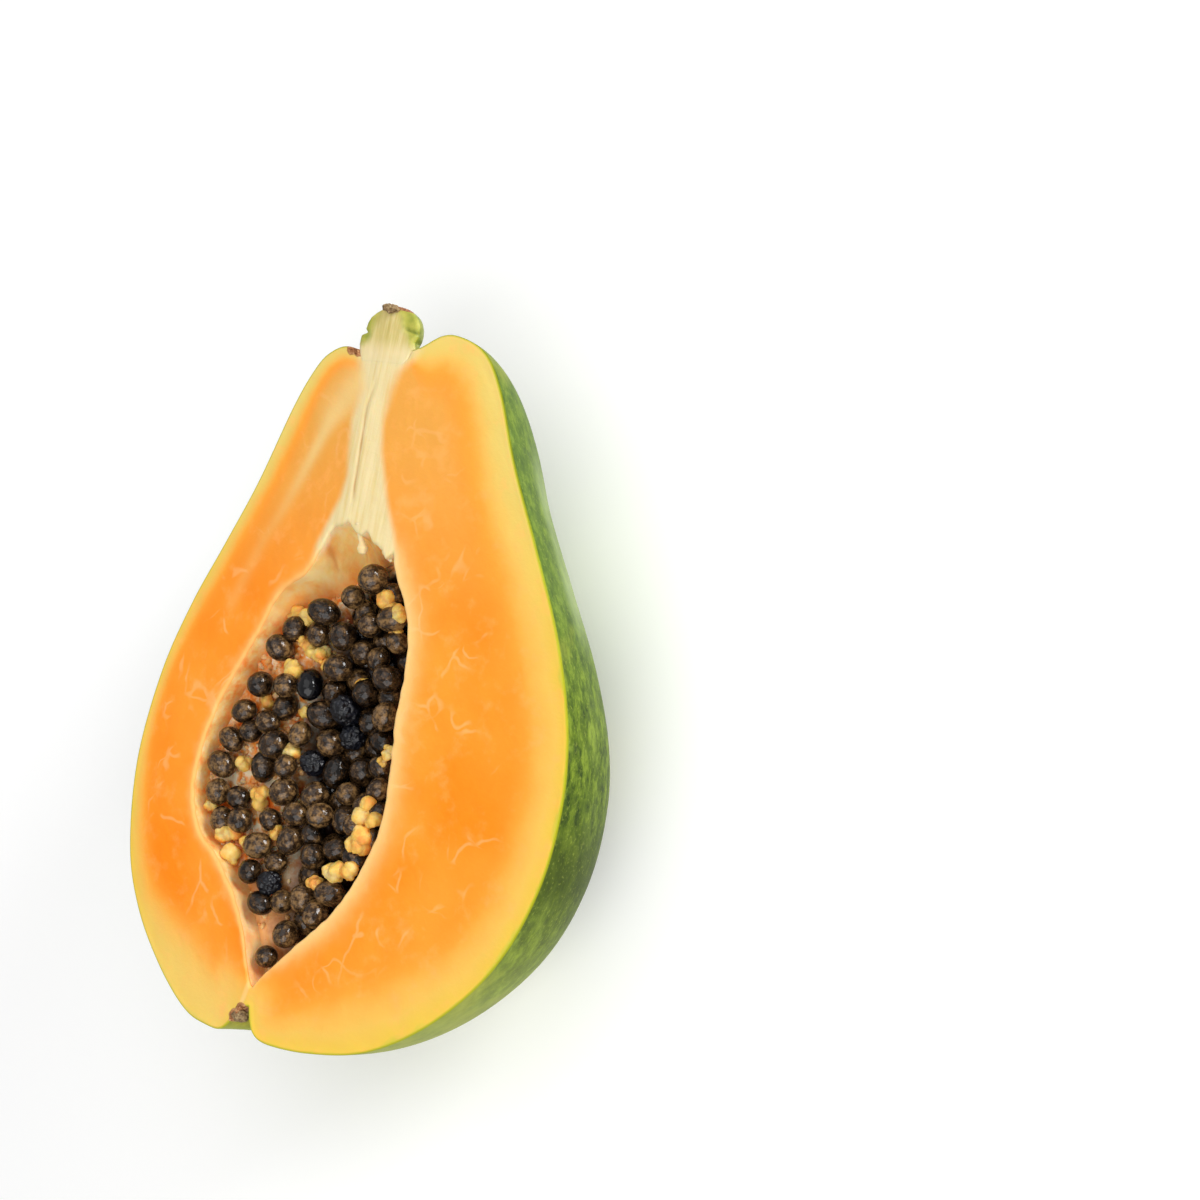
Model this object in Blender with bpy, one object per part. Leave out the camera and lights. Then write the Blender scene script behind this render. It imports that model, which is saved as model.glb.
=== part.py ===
"""Half of a ripe papaya, cut lengthwise, lying on its back with the cut side up.

Two pieces: the fruit half (skin, flesh and stem stub in one solid) and the heap of seeds
in its hollow. Sizes are in millimetres and become metres where meshes are made. The plan
frame has X across the cut, Y towards the stem, and Z = 0 at the cut; X = 0 is the line
from the stem to the blossom scar. The last step moves the box centre over the origin.
"""
import math

import bmesh
import bpy
import numpy as np
from mathutils import Euler, Vector

MM = 0.001

# Outline of the cut, without the dips at the two ends (X, Y)
OUTLINE = [
    (0.0, 77.0), (9.0, 77.8), (17.5, 77.9), (24.9, 74.9), (30.5, 67.2), (37.3, 52.5),
    (46.6, 35.6), (55.6, 18.3), (61.7, 1.0), (63.6, -15.0), (61.7, -31.7), (55.2, -47.6),
    (43.7, -60.9), (29.9, -69.9), (15.0, -73.6), (0.0, -74.2), (-12.0, -73.7), (-19.5, -71.6),
    (-29.0, -64.4), (-38.3, -54.0), (-44.6, -41.5), (-47.8, -22.5), (-45.9, -2.5), (-41.0, 13.6),
    (-34.8, 27.6), (-28.6, 42.0), (-22.8, 59.2), (-18.8, 67.8), (-15.2, 71.9), (-8.0, 75.4),
]
# Edge of the hollow where it meets the cut (X, Y)
MOUTH = [
    (-2.4, 38.5), (1.5, 34.2), (6.5, 31.2), (11.0, 30.6), (14.6, 24.9), (18.6, 17.5),
    (20.4, 8.0), (20.4, -2.0), (21.6, -14.0), (21.9, -25.0), (19.0, -35.3), (14.5, -44.2),
    (7.0, -52.8), (0.3, -60.5), (-1.8, -63.2), (-4.2, -59.6), (-7.5, -52.5), (-12.0, -45.8),
    (-18.9, -39.0), (-25.4, -34.2), (-29.2, -27.0), (-29.7, -18.5), (-27.7, -8.2), (-24.3, 0.2),
    (-20.2, 9.0), (-16.0, 18.6), (-9.6, 24.4), (-6.4, 31.0),
]
# Lowest point of the back, under the centre of mass, and centre of all the rays
POLE = (7.9, -8.5)
DEPTH = 53.0               # cut down to the resting spot
RESTING_SPOT = 0.17        # part of the way from the pole to the outline that is flat
# Fullness of the back: exponent of the profile towards the stem, the sides, the blossom
FULLNESS_STEM = 1.75
FULLNESS_SIDE = 2.2
FULLNESS_BLOSSOM = 2.5
LEFT_FALL_DEG = 6.0        # the left of the cut falls away from the crease
CREASE_X = (-2.4, -0.8)    # crease at the blossom end and at the stem end
CREASE_Y = (-68.0, 75.0)

# Dips of the outline: centre X, depth, then width and power of the fall-off left and right
STEM_DIP = (1.0, 4.2, 10.5, 4.0, 10.5, 4.0)
BLOSSOM_DIP = (-2.4, 6.8, 3.9, 2.7, 2.3, 1.2)
DIP_REACH = 6.0            # how far down the skin the dips fade away

HOLLOW_DEPTH = 27.0
HOLLOW_FULLNESS = 2.3
# Towards the stem the hollow ends in a vault that slopes more gently: its own fullness, the
# direction it lies in from the pole, and the power that narrows it to that direction
VAULT_FULLNESS = 1.7
VAULT_DEG = -14.0
VAULT_POWER = 8.0

STEM_X = 0.6
# Stem stub: distance up the stem and radius there
STEM_PROFILE = [(68.0, 8.2), (72.0, 7.8), (74.5, 7.3), (77.5, 7.0), (80.0, 6.4), (81.8, 5.2), (82.9, 2.8)]
STEM_PROUD = 0.25          # the tough stem stands this much out of the cut
STEM_ROOT_SINK = 3.0       # its inner end dips under the flesh

# Seeds that mark the edge of the heap (X, Y, diameter)
MARK_SEEDS = [
    (5.8, 25.1, 6.8), (1.0, 20.8, 5.4), (-5.8, 16.6, 6.2), (-13.2, 11.8, 5.8), (-15.6, 7.6, 6.0),
    (-19.2, -1.1, 6.2), (-22.2, -7.5, 5.6), (-24.2, -13.9, 5.4), (-25.5, -19.6, 6.3), (-25.0, -25.6, 5.6),
    (-22.3, -31.2, 5.6), (-11.6, -41.2, 5.8), (-7.2, -47.6, 5.6), (1.6, -51.4, 6.0), (-1.9, -56.9, 5.0),
    (7.6, -45.4, 6.0), (-6.2, 0.9, 6.4), (0.3, 5.4, 6.4), (13.2, 5.2, 6.4), (12.2, 17.6, 6.0),
]
# Seeds that show between them, as seen from the right on a plane SEEN_DEPTH under the cut: a
# seed above or below that plane is moved by SEEN_LEAN for each millimetre
SHOWN_SEEDS = [
    (-6.3, 11.7), (0.2, 12.3), (6.5, 15.6), (14.1, 13.0), (10.3, 8.6), (-12.0, -0.9), (-11.6, -4.7),
    (8.9, 1.3), (14.8, -2.8), (-14.7, -8.5), (-5.9, -10.1), (-18.9, -11.4), (-12.1, -13.3), (14.5, -8.0),
    (-13.8, -18.4), (-7.9, -17.2), (-18.5, -26.0), (-7.1, -22.6), (-16.8, -30.3), (-2.9, -26.6),
    (3.5, -25.7), (9.3, -20.3), (16.7, -18.0), (-9.0, -29.0), (-2.8, -32.2), (3.8, -34.6), (9.5, -32.0),
    (-10.8, -34.8), (13.0, -26.0), (-5.4, -37.8), (9.9, -41.0), (4.0, -43.7), (-2.0, -45.3),
    (4.6, -3.2), (7.7, -8.5), (-1.1, -15.5), (-6.1, -42.7),
]
SEEN_DEPTH = 5.0
SEEN_LEAN = (0.58, -0.07)
SEED_LIFTS = (0.9, 2.7)    # least and most height of a shown seed above the bed
SETTLE_ROUNDS = 80
SETTLE_STEP = 0.25         # part of an overlap that two seeds move apart at a time
MARK_LIFT = 2.0
MARK_MOVES = 12
MARK_MOVE = 0.02           # part of the way to the pole that a tight mark moves at a time
SEED_DIAMETER = (5.2, 6.6)
SEED_LAYERS = [(0.6, 40), (-1.6, 50)]    # height of the other seeds, and how many are tried
SEED_LIFT_SPREAD = 0.4
PACKED = (-10.0, 0.22, -12.0, 11.0)  # packed part: start X, how it tapers from the middle Y, width
SEED_TRIES = 1500
SEED_SPACING = 0.88        # least distance of two seeds, in sums of their radii
SEED_DRAW = 11
SEED_STRETCH = 1.1         # a seed is this much longer than it is wide
WALL_GAP = 0.5             # seeds and bed stay clear of the flesh
BED_EDGE_DROP = 5.2        # bed of the seeds below the cut, at the edge
BED_SAG = 2.6              # and how much further in the middle
BED_DIP = (8.5, -11.0, 8.0, 3.5)  # a hollow in the bed: centre X, Y, radius, depth
BED_TOP = (20.0, 32.0, 0.75, 9.0)  # towards the stem: start, end, slant of the edge, fall

RAYS = 116
SKIN_RINGS = 13
HOLLOW_RINGS = 9
BED_RAYS = 56
BED_RINGS = 5
SEED_SIDES = 5
SEED_RINGS = 4
STEM_SIDES = 14

FLESH_COLOUR = (0.95, 0.33, 0.04, 1.0)
SEED_COLOUR = (0.03, 0.025, 0.02, 1.0)


def smoothstep(value):
    t = np.clip(value, 0.0, 1.0)
    return t * t * (3.0 - 2.0 * t)


def closed_curve(points, steps=24):
    """Points along a closed Catmull-Rom curve through the given points."""
    p = np.array(points, float)
    t = np.linspace(0.0, 1.0, steps, endpoint=False)[:, None]
    runs = []
    for i in range(len(p)):
        a, b, c, d = p[i - 1], p[i], p[(i + 1) % len(p)], p[(i + 2) % len(p)]
        runs.append(0.5 * (2.0 * b + (c - a) * t + (2.0 * a - 5.0 * b + 4.0 * c - d) * t ** 2
                           + (3.0 * b - a - 3.0 * c + d) * t ** 3))
    return np.concatenate(runs)


def polar(points):
    """A closed curve as angle (0 to 2 pi, clockwise from +Y) and distance from the pole."""
    q = closed_curve(points) - np.array(POLE)
    angle = np.arctan2(q[:, 0], q[:, 1]) % math.tau
    order = np.argsort(angle)
    return angle[order], np.hypot(q[:, 0], q[:, 1])[order]


OUTLINE_POLAR = polar(OUTLINE)
MOUTH_POLAR = polar(MOUTH)


def reach(curve, angle):
    """Distance from the pole to a polar curve along the given angles."""
    return np.interp(angle % math.tau, curve[0], curve[1], period=math.tau)


def dip(x, shape):
    """Depth of one end dip at X."""
    centre, depth, left, left_power, right, right_power = shape
    away = np.abs(x - centre)
    return depth * np.exp(-np.where(x < centre, (away / left) ** left_power, (away / right) ** right_power))


def outline_reach(angle, below):
    """Distance from the pole to the skin line of the cut, dips faded by the depth below it."""
    smooth = reach(OUTLINE_POLAR, angle)
    x = POLE[0] + smooth * np.sin(angle)
    stem_side = np.cos(angle) > 0.0
    dips = np.where(stem_side, dip(x, STEM_DIP), dip(x, BLOSSOM_DIP))
    return smooth - dips * np.exp(-(below / DIP_REACH) ** 2)


def cut_height(x, y):
    """Height of the cut: level on the right of the crease, falling away on the left."""
    along = (y - CREASE_Y[0]) / (CREASE_Y[1] - CREASE_Y[0])
    crease = CREASE_X[0] + (CREASE_X[1] - CREASE_X[0]) * along
    return -math.tan(math.radians(LEFT_FALL_DEG)) * np.maximum(0.0, crease - x)


def fullness(angle):
    towards_stem = np.cos(angle)
    ends = np.where(towards_stem > 0.0, FULLNESS_STEM, FULLNESS_BLOSSOM)
    return FULLNESS_SIDE + (ends - FULLNESS_SIDE) * np.abs(towards_stem)


def skin_point(angle, part):
    """Point of the skin: part is 1 at the edge of the cut and 0 at the pole."""
    power = fullness(angle)
    off_flat = np.clip((part - RESTING_SPOT) / (1.0 - RESTING_SPOT), 0.0, 1.0)
    drop = DEPTH * (1.0 - off_flat ** power) ** (1.0 / power)
    away = outline_reach(angle, drop)
    x = POLE[0] + away * part * np.sin(angle)
    y = POLE[1] + away * part * np.cos(angle)
    edge_x = POLE[0] + away * np.sin(angle)
    edge_y = POLE[1] + away * np.cos(angle)
    return np.stack([x, y, cut_height(edge_x, edge_y) * off_flat ** 2 - drop], -1)


def hollow_fullness(angle):
    towards_vault = np.maximum(0.0, np.cos(angle - math.radians(VAULT_DEG))) ** VAULT_POWER
    return HOLLOW_FULLNESS + (VAULT_FULLNESS - HOLLOW_FULLNESS) * towards_vault


def hollow_height(x, y):
    """Height of the wall of the hollow under the point (x, y) of the plan."""
    dx, dy = x - POLE[0], y - POLE[1]
    angle = np.arctan2(dx, dy)
    mouth = reach(MOUTH_POLAR, angle)
    part = np.clip(np.hypot(dx, dy) / mouth, 0.0, 1.0)
    edge = cut_height(POLE[0] + mouth * np.sin(angle), POLE[1] + mouth * np.cos(angle))
    power = hollow_fullness(angle)
    return edge * part ** 2 - HOLLOW_DEPTH * (1.0 - part ** power) ** (1.0 / power)


def clear_height(x, y):
    """Height that stays clear of the wall of the hollow, upwards and sideways."""
    dx, dy = x - POLE[0], y - POLE[1]
    away = np.maximum(np.hypot(dx, dy), 1e-6)
    wider = (away + WALL_GAP) / away
    return hollow_height(POLE[0] + dx * wider, POLE[1] + dy * wider) + WALL_GAP


def bed_height(x, y):
    """Top of the bed that the showing seeds lie on."""
    dx, dy = x - POLE[0], y - POLE[1]
    mouth = reach(MOUTH_POLAR, np.arctan2(dx, dy))
    part = np.clip(np.hypot(dx, dy) / mouth, 0.0, 1.0)
    drop = BED_EDGE_DROP + BED_SAG * (1.0 - part ** 2)
    drop = drop + BED_DIP[3] * np.exp(-((x - BED_DIP[0]) ** 2 + (y - BED_DIP[1]) ** 2) / BED_DIP[2] ** 2)
    start, end, slant, fall = BED_TOP
    drop = drop + fall * smoothstep((y - slant * x - start) / (end - start))
    return cut_height(x, y) - drop


def ray_angles(count):
    """Angles of the rays, spread evenly along the outline with more at the two dips."""
    fine = np.linspace(0.0, math.tau, 4001)
    away = outline_reach(fine, 0.0)
    x = POLE[0] + away * np.sin(fine)
    y = POLE[1] + away * np.cos(fine)
    weight = np.where(np.cos(fine) > 0.0, dip(x, STEM_DIP) / 3.0, dip(x, BLOSSOM_DIP) / 2.0)
    steps = np.hypot(np.diff(x), np.diff(y)) * (1.0 + 0.5 * (weight[1:] + weight[:-1]))
    along = np.concatenate([[0.0], np.cumsum(steps)])
    return np.interp(np.linspace(0.0, along[-1], count, endpoint=False), along, fine)


def mesh_from_rings(name, rings, first_pole, last_pole):
    """A closed mesh through rings of points, closed by a fan at each end."""
    count = len(rings[0])
    vertices = [first_pole] + [tuple(p) for ring in rings for p in ring] + [last_pole]
    last = len(vertices) - 1
    faces = []
    for k in range(count):
        n = (k + 1) % count
        faces.append((0, 1 + k, 1 + n))
        for r in range(len(rings) - 1):
            a, b = 1 + r * count, 1 + (r + 1) * count
            faces.append((a + k, b + k, b + n, a + n))
        end = 1 + (len(rings) - 1) * count
        faces.append((end + n, end + k, last))
    mesh = bpy.data.meshes.new(name)
    mesh.from_pydata([tuple(c * MM for c in v) for v in vertices], [], faces)
    return close_up(mesh)


def close_up(mesh):
    """Turns a mesh into triangles with outward faces."""
    bm = bmesh.new()
    bm.from_mesh(mesh)
    bmesh.ops.triangulate(bm, faces=bm.faces)
    bmesh.ops.recalc_face_normals(bm, faces=bm.faces)
    bm.to_mesh(mesh)
    bm.free()
    return mesh


def add_object(name, mesh, collection=None):
    piece = bpy.data.objects.new(name, mesh)
    (collection or bpy.context.scene.collection).objects.link(piece)
    return piece


def add_material(piece, name, colour, roughness):
    material = bpy.data.materials.new(name)
    material.use_nodes = True
    shader = material.node_tree.nodes["Principled BSDF"]
    shader.inputs["Base Color"].default_value = colour
    shader.inputs["Roughness"].default_value = roughness
    shader.inputs["Metallic"].default_value = 0.0
    piece.data.materials.clear()
    piece.data.materials.append(material)


def fuse(piece, cutters):
    """Joins every object of a collection to the piece and removes them."""
    union = piece.modifiers.new("Union", "BOOLEAN")
    union.operation = "UNION"
    union.operand_type = "COLLECTION"
    union.collection = cutters
    union.solver = "EXACT"
    evaluated = piece.evaluated_get(bpy.context.evaluated_depsgraph_get())
    fused = bpy.data.meshes.new_from_object(evaluated)
    piece.modifiers.clear()
    piece.data = close_up(fused)
    for cutter in list(cutters.objects):
        bpy.data.objects.remove(cutter)
    bpy.data.collections.remove(cutters)


def new_collection(name):
    collection = bpy.data.collections.new(name)
    bpy.context.scene.collection.children.link(collection)
    return collection


def fruit_body():
    """Skin, cut and hollow as rings from the floor of the hollow round to the resting spot."""
    angles = ray_angles(RAYS)
    mouth = reach(MOUTH_POLAR, angles)
    rings = []
    for step in range(1, HOLLOW_RINGS + 1):
        part = math.sin(0.5 * math.pi * step / HOLLOW_RINGS)
        x = POLE[0] + mouth * part * np.sin(angles)
        y = POLE[1] + mouth * part * np.cos(angles)
        rings.append(np.stack([x, y, hollow_height(x, y)], -1))
    edge = skin_point(angles, np.ones(RAYS))
    mid = 0.5 * (rings[-1] + edge)
    mid[:, 2] = cut_height(mid[:, 0], mid[:, 1])
    rings += [mid, edge]
    for step in range(1, SKIN_RINGS + 1):
        turn = 0.5 * math.pi * step / SKIN_RINGS
        part = RESTING_SPOT + (1.0 - RESTING_SPOT) * math.cos(turn)
        rings.append(skin_point(angles, np.full(RAYS, part)))
    floor = (POLE[0], POLE[1], -HOLLOW_DEPTH)
    back = (POLE[0], POLE[1], -DEPTH)
    return mesh_from_rings("papaya_half", rings, floor, back)


def stem_stub():
    """Half of a round stub, cut with the fruit; its root dips under the flesh."""
    rows = []
    for index, (y, radius) in enumerate(STEM_PROFILE):
        top = STEM_PROUD if index else -STEM_ROOT_SINK
        row = [(STEM_X, y, top)]
        for step in range(STEM_SIDES + 1):
            turn = math.pi * step / STEM_SIDES
            x = STEM_X + radius * math.cos(turn)
            z = cut_height(x, y) + top - radius * math.sin(turn)
            row.append((x, y, float(z)))
        rows.append(row)
    first = (STEM_X, STEM_PROFILE[0][0], -0.5 * STEM_PROFILE[0][1])
    last = (STEM_X, STEM_PROFILE[-1][0], -0.5 * STEM_PROFILE[-1][1])
    return mesh_from_rings("stem", rows, first, last)


def fruit_half():
    piece = add_object("papaya_half", fruit_body())
    stem = new_collection("stem parts")
    add_object("stem", stem_stub(), stem)
    fuse(piece, stem)
    add_material(piece, "papaya flesh", FLESH_COLOUR, 0.45)
    return piece


def clear_of_wall(x, y, z, radius):
    """True for each ball that stays off the wall of the hollow."""
    turns = np.linspace(0.0, math.tau, 12, endpoint=False)
    out = np.broadcast_to(radius, x.shape)[:, None]
    around = clear_height(x[:, None] + out * np.cos(turns), y[:, None] + out * np.sin(turns))
    return (around.max(1) < z) & (clear_height(x, y) < z - radius)


def mark_spots():
    """The marked seeds on the bed, moved inwards where the wall is too close."""
    marks = np.array(MARK_SEEDS)
    radius = 0.5 * marks[:, 2]
    for _ in range(MARK_MOVES):
        x, y = marks[:, 0], marks[:, 1]
        z = bed_height(x, y) + MARK_LIFT
        tight = ~clear_of_wall(x, y, z, SEED_STRETCH * radius)
        marks[tight, :2] += MARK_MOVE * (np.array(POLE) - marks[tight, :2])
    return np.stack([x, y, z, radius], 1)


def shown_spots(rng):
    """The seeds that show between the marks, each at the height that the draw gives."""
    x, y = np.array(SHOWN_SEEDS).T
    lift = rng.uniform(*SEED_LIFTS, len(x))
    rise = bed_height(x, y) + lift + SEEN_DEPTH
    x, y = x + SEEN_LEAN[0] * rise, y + SEEN_LEAN[1] * rise
    return np.stack([x, y, bed_height(x, y) + lift, rng.uniform(*SEED_DIAMETER, len(x)) / 2.0], 1)


def settle(spots):
    """Pushes balls apart where they overlap and back from the wall of the hollow."""
    least = SEED_SPACING * (spots[:, None, 3] + spots[None, :, 3])
    apart = np.eye(len(spots)) * least.max()
    for _ in range(SETTLE_ROUNDS):
        gap = spots[:, None, :3] - spots[None, :, :3]
        away = np.linalg.norm(gap, axis=2) + apart
        lap = np.maximum(0.0, least - away)
        spots[:, :3] += SETTLE_STEP * (gap * (lap / away)[..., None]).sum(1)
        tight = ~clear_of_wall(*spots[:, :3].T, SEED_STRETCH * spots[:, 3])
        spots[tight, :2] += MARK_MOVE * (np.array(POLE) - spots[tight, :2])
        spots[:, 2] = np.minimum(spots[:, 2], bed_height(spots[:, 0], spots[:, 1]) + SEED_LIFTS[1])
    return spots


def packed_part(x, y):
    """1 where seeds lie packed, 0 at the left of the hollow where only the shown ones lie."""
    start, taper, middle, width = PACKED
    return smoothstep((x - start - taper * np.abs(y - middle)) / width)


def packed(spots, layers, rng):
    """Adds layers of balls to the spots, close together on the packed part, largest first."""
    low, high = np.min(MOUTH, 0), np.max(MOUTH, 0)
    for lift, count in layers:
        for radius in np.sort(rng.uniform(*SEED_DIAMETER, count))[::-1] / 2.0:
            x, y = rng.uniform(low, high, (SEED_TRIES, 2)).T
            z = bed_height(x, y) + lift + rng.uniform(-SEED_LIFT_SPREAD, SEED_LIFT_SPREAD, SEED_TRIES)
            tries = np.stack([x, y, z], 1)
            away = np.linalg.norm(tries[:, None] - spots[None, :, :3], axis=2)
            gaps = np.sort(away - SEED_SPACING * (radius + spots[:, 3]), 1)
            allowed = (gaps[:, 0] > 0.0) & clear_of_wall(x, y, z, SEED_STRETCH * radius)
            allowed &= packed_part(x, y) > 0.5
            if allowed.any():
                snuggest = np.argmin(np.where(allowed, gaps[:, :3].sum(1), np.inf))
                spots = np.vstack([spots, [*tries[snuggest], radius]])
    return spots


def seed_spots(rng):
    """Centre and radius of each seed: marked and shown ones first, then the packed layers."""
    return packed(settle(np.vstack([mark_spots(), shown_spots(rng)])), SEED_LAYERS, rng)


def seed_mesh(spot, rng):
    """One seed as an egg-shaped ball with few sides, turned at random."""
    bm = bmesh.new()
    bmesh.ops.create_uvsphere(bm, u_segments=SEED_SIDES, v_segments=SEED_RINGS, radius=spot[3] * MM)
    turned = Euler(rng.uniform(0.0, math.tau, 3)).to_matrix()
    for vertex in bm.verts:
        vertex.co.z *= SEED_STRETCH
        vertex.co = turned @ vertex.co + Vector(spot[:3]) * MM
    mesh = bpy.data.meshes.new("seed")
    bm.to_mesh(mesh)
    bm.free()
    return mesh


def seed_bed():
    """Core of the heap: its underside follows the hollow, its top carries the seeds."""
    angles = np.linspace(0.0, math.tau, BED_RAYS, endpoint=False)
    mouth = reach(MOUTH_POLAR, angles)
    parts = np.linspace(0.0, 1.0, 400)
    edge = np.zeros(BED_RAYS)
    for k, angle in enumerate(angles):
        x = POLE[0] + mouth[k] * parts * math.sin(angle)
        y = POLE[1] + mouth[k] * parts * math.cos(angle)
        room = bed_height(x, y) - clear_height(x, y)
        edge[k] = parts[np.argmax(room <= 0.0)] * mouth[k]
    top, under = [], []
    for step in range(1, BED_RINGS + 1):
        away = edge * math.sin(0.5 * math.pi * step / BED_RINGS)
        x = POLE[0] + away * np.sin(angles)
        y = POLE[1] + away * np.cos(angles)
        top.append(np.stack([x, y, bed_height(x, y)], -1))
        under.append(np.stack([x, y, np.minimum(clear_height(x, y), top[-1][:, 2])], -1))
    rings = top + under[-2::-1]
    crown = (POLE[0], POLE[1], float(bed_height(*POLE)))
    floor = (POLE[0], POLE[1], WALL_GAP - HOLLOW_DEPTH)
    return mesh_from_rings("seeds", rings, crown, floor)


def seed_heap():
    piece = add_object("seeds", seed_bed())
    heap = new_collection("loose seeds")
    rng = np.random.default_rng(SEED_DRAW)
    for spot in seed_spots(rng):
        add_object("seed", seed_mesh(spot, rng), heap)
    fuse(piece, heap)
    add_material(piece, "papaya seeds", SEED_COLOUR, 0.3)
    return piece


def centre_over_origin(pieces):
    """Moves the pieces so that their common box stands on the origin, centred."""
    points = np.array([v.co[:] for piece in pieces for v in piece.data.vertices])
    low, high = points.min(0), points.max(0)
    shift = Vector((-(low[0] + high[0]) / 2.0, -(low[1] + high[1]) / 2.0, -low[2]))
    for piece in pieces:
        for vertex in piece.data.vertices:
            vertex.co += shift


def main():
    for item in list(bpy.data.objects):
        bpy.data.objects.remove(item)
    pieces = [fruit_half(), seed_heap()]
    centre_over_origin(pieces)
    for piece in pieces:
        piece.data.shade_smooth()


main()
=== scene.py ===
import math
from functools import partial

import bmesh
import bpy
import numpy as np
from mathutils import Matrix, Vector, kdtree, noise


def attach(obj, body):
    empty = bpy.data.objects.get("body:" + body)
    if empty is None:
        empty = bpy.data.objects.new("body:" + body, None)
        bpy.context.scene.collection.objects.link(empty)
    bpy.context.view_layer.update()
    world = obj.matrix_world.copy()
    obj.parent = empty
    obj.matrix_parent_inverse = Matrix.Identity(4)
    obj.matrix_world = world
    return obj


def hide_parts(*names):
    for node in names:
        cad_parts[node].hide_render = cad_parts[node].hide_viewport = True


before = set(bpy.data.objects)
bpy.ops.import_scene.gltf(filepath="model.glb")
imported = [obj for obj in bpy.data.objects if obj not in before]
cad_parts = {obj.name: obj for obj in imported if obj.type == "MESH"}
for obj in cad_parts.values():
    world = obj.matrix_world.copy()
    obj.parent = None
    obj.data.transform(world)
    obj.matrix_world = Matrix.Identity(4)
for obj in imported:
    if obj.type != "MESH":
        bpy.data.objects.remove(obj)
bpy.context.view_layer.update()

bl_info = {
    "name": "Papaya half",
    "version": (1, 0, 0),
    "blender": (4, 5, 0),
    "location": "3D View > Sidebar > Papaya",
    "description": "Half of a ripe papaya with its seeds, on a pale floor in soft light",
    "category": "Object",
}

MM = 0.001

# Plan of the cut in millimetres, as in the part: X across, Y towards the stem, X = 0 on the
# line from the stem to the blossom scar, Z = 0 at the cut
OUTLINE = [
    (0.0, 77.0), (9.0, 77.8), (17.5, 77.9), (24.9, 74.9), (30.5, 67.2), (37.3, 52.5),
    (46.6, 35.6), (55.6, 18.3), (61.7, 1.0), (63.6, -15.0), (61.7, -31.7), (55.2, -47.6),
    (43.7, -60.9), (29.9, -69.9), (15.0, -73.6), (0.0, -74.2), (-12.0, -73.7), (-19.5, -71.6),
    (-29.0, -64.4), (-38.3, -54.0), (-44.6, -41.5), (-47.8, -22.5), (-45.9, -2.5), (-41.0, 13.6),
    (-34.8, 27.6), (-28.6, 42.0), (-22.8, 59.2), (-18.8, 67.8), (-15.2, 71.9), (-8.0, 75.4),
]
MOUTH = [
    (-2.4, 38.5), (1.5, 34.2), (6.5, 31.2), (11.0, 30.6), (14.6, 24.9), (18.6, 17.5),
    (20.4, 8.0), (20.4, -2.0), (21.6, -14.0), (21.9, -25.0), (19.0, -35.3), (14.5, -44.2),
    (7.0, -52.8), (0.3, -60.5), (-1.8, -63.2), (-4.2, -59.6), (-7.5, -52.5), (-12.0, -45.8),
    (-18.9, -39.0), (-25.4, -34.2), (-29.2, -27.0), (-29.7, -18.5), (-27.7, -8.2), (-24.3, 0.2),
    (-20.2, 9.0), (-16.0, 18.6), (-9.6, 24.4), (-6.4, 31.0),
]
POLE = (7.9, -8.5)
DEPTH = 53.0
RESTING_SPOT = 0.17
FULLNESS_STEM = 1.75
FULLNESS_SIDE = 2.2
FULLNESS_BLOSSOM = 2.5
LEFT_FALL_DEG = 6.0
CREASE_X = (-2.4, -0.8)
CREASE_Y = (-68.0, 75.0)
# Dips in the outline at both ends: X, depth, then width and power to the left and to the right
STEM_DIP = (1.0, 4.2, 10.5, 4.0, 10.5, 4.0)
BLOSSOM_DIP = (-2.4, 6.8, 3.9, 2.7, 2.3, 1.2)
DIP_REACH = 6.0
HOLLOW_DEPTH = 27.0
HOLLOW_FULLNESS = 2.3
VAULT_FULLNESS = 1.7
VAULT_DEG = -14.0
VAULT_POWER = 8.0
STEM_X = 0.6
STEM_END = 82.9            # Y of the end of the stem

# Seeds that lie where the photograph shows them: X, Y, diameter
MARK_SEEDS = [
    (5.8, 25.1, 6.8), (1.0, 20.8, 5.4), (-5.8, 16.6, 6.2), (-13.2, 11.8, 5.8), (-15.6, 7.6, 6.0),
    (-19.2, -1.1, 6.2), (-22.2, -7.5, 5.6), (-24.2, -13.9, 5.4), (-25.5, -19.6, 6.3), (-25.0, -25.6, 5.6),
    (-22.3, -31.2, 5.6), (-11.6, -41.2, 5.8), (-7.2, -47.6, 5.6), (1.6, -51.4, 6.0), (-1.9, -56.9, 5.0),
    (7.6, -45.4, 6.0), (-6.2, 0.9, 6.4), (0.3, 5.4, 6.4), (13.2, 5.2, 6.4), (12.2, 17.6, 6.0),
]
MARK_MOVES = 12
MARK_MOVE = 0.02
SEED_DIAMETER = (5.2, 6.6)
# Layers of seeds between and under the marked ones: height over the bed, number
SEED_LAYERS = [(0.6, 40), (-1.6, 50)]
DEEP_LAYER = [(-4.4, 50)]
SEED_LIFT_SPREAD = 0.4
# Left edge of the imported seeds: X, its lean with Y, the Y where it is furthest left, soft width
PACKED = (-10.0, 0.22, -12.0, 11.0)
MARK_LIFT = 2.0
SEED_TRIES = 1500
SEED_SPACING = 0.88
SEED_DRAW = 11
SEED_STRETCH = 1.1
WALL_GAP = 0.5
BED_EDGE_DROP = 5.2
BED_SAG = 2.6
# A dip in the bed: X, Y, radius, depth
BED_DIP = (8.5, -11.0, 8.0, 3.5)
# Fall of the bed into the vault: from and to this Y, how the line slants with X, depth
BED_TOP = (20.0, 32.0, 0.75, 9.0)

# Core of pale strands from the stem to the hollow: Y, left edge, right edge
CORE = [
    (30.0, -8.5, 13.4), (35.0, -6.6, 11.4), (41.0, -4.4, 8.4), (46.0, -3.8, 6.4), (52.0, -4.8, 4.2),
    (58.0, -5.6, 3.0), (65.0, -4.4, 3.6), (69.0, -5.8, 4.8), (72.0, -7.2, 7.6), (74.6, -8.0, 8.8),
]
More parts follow.
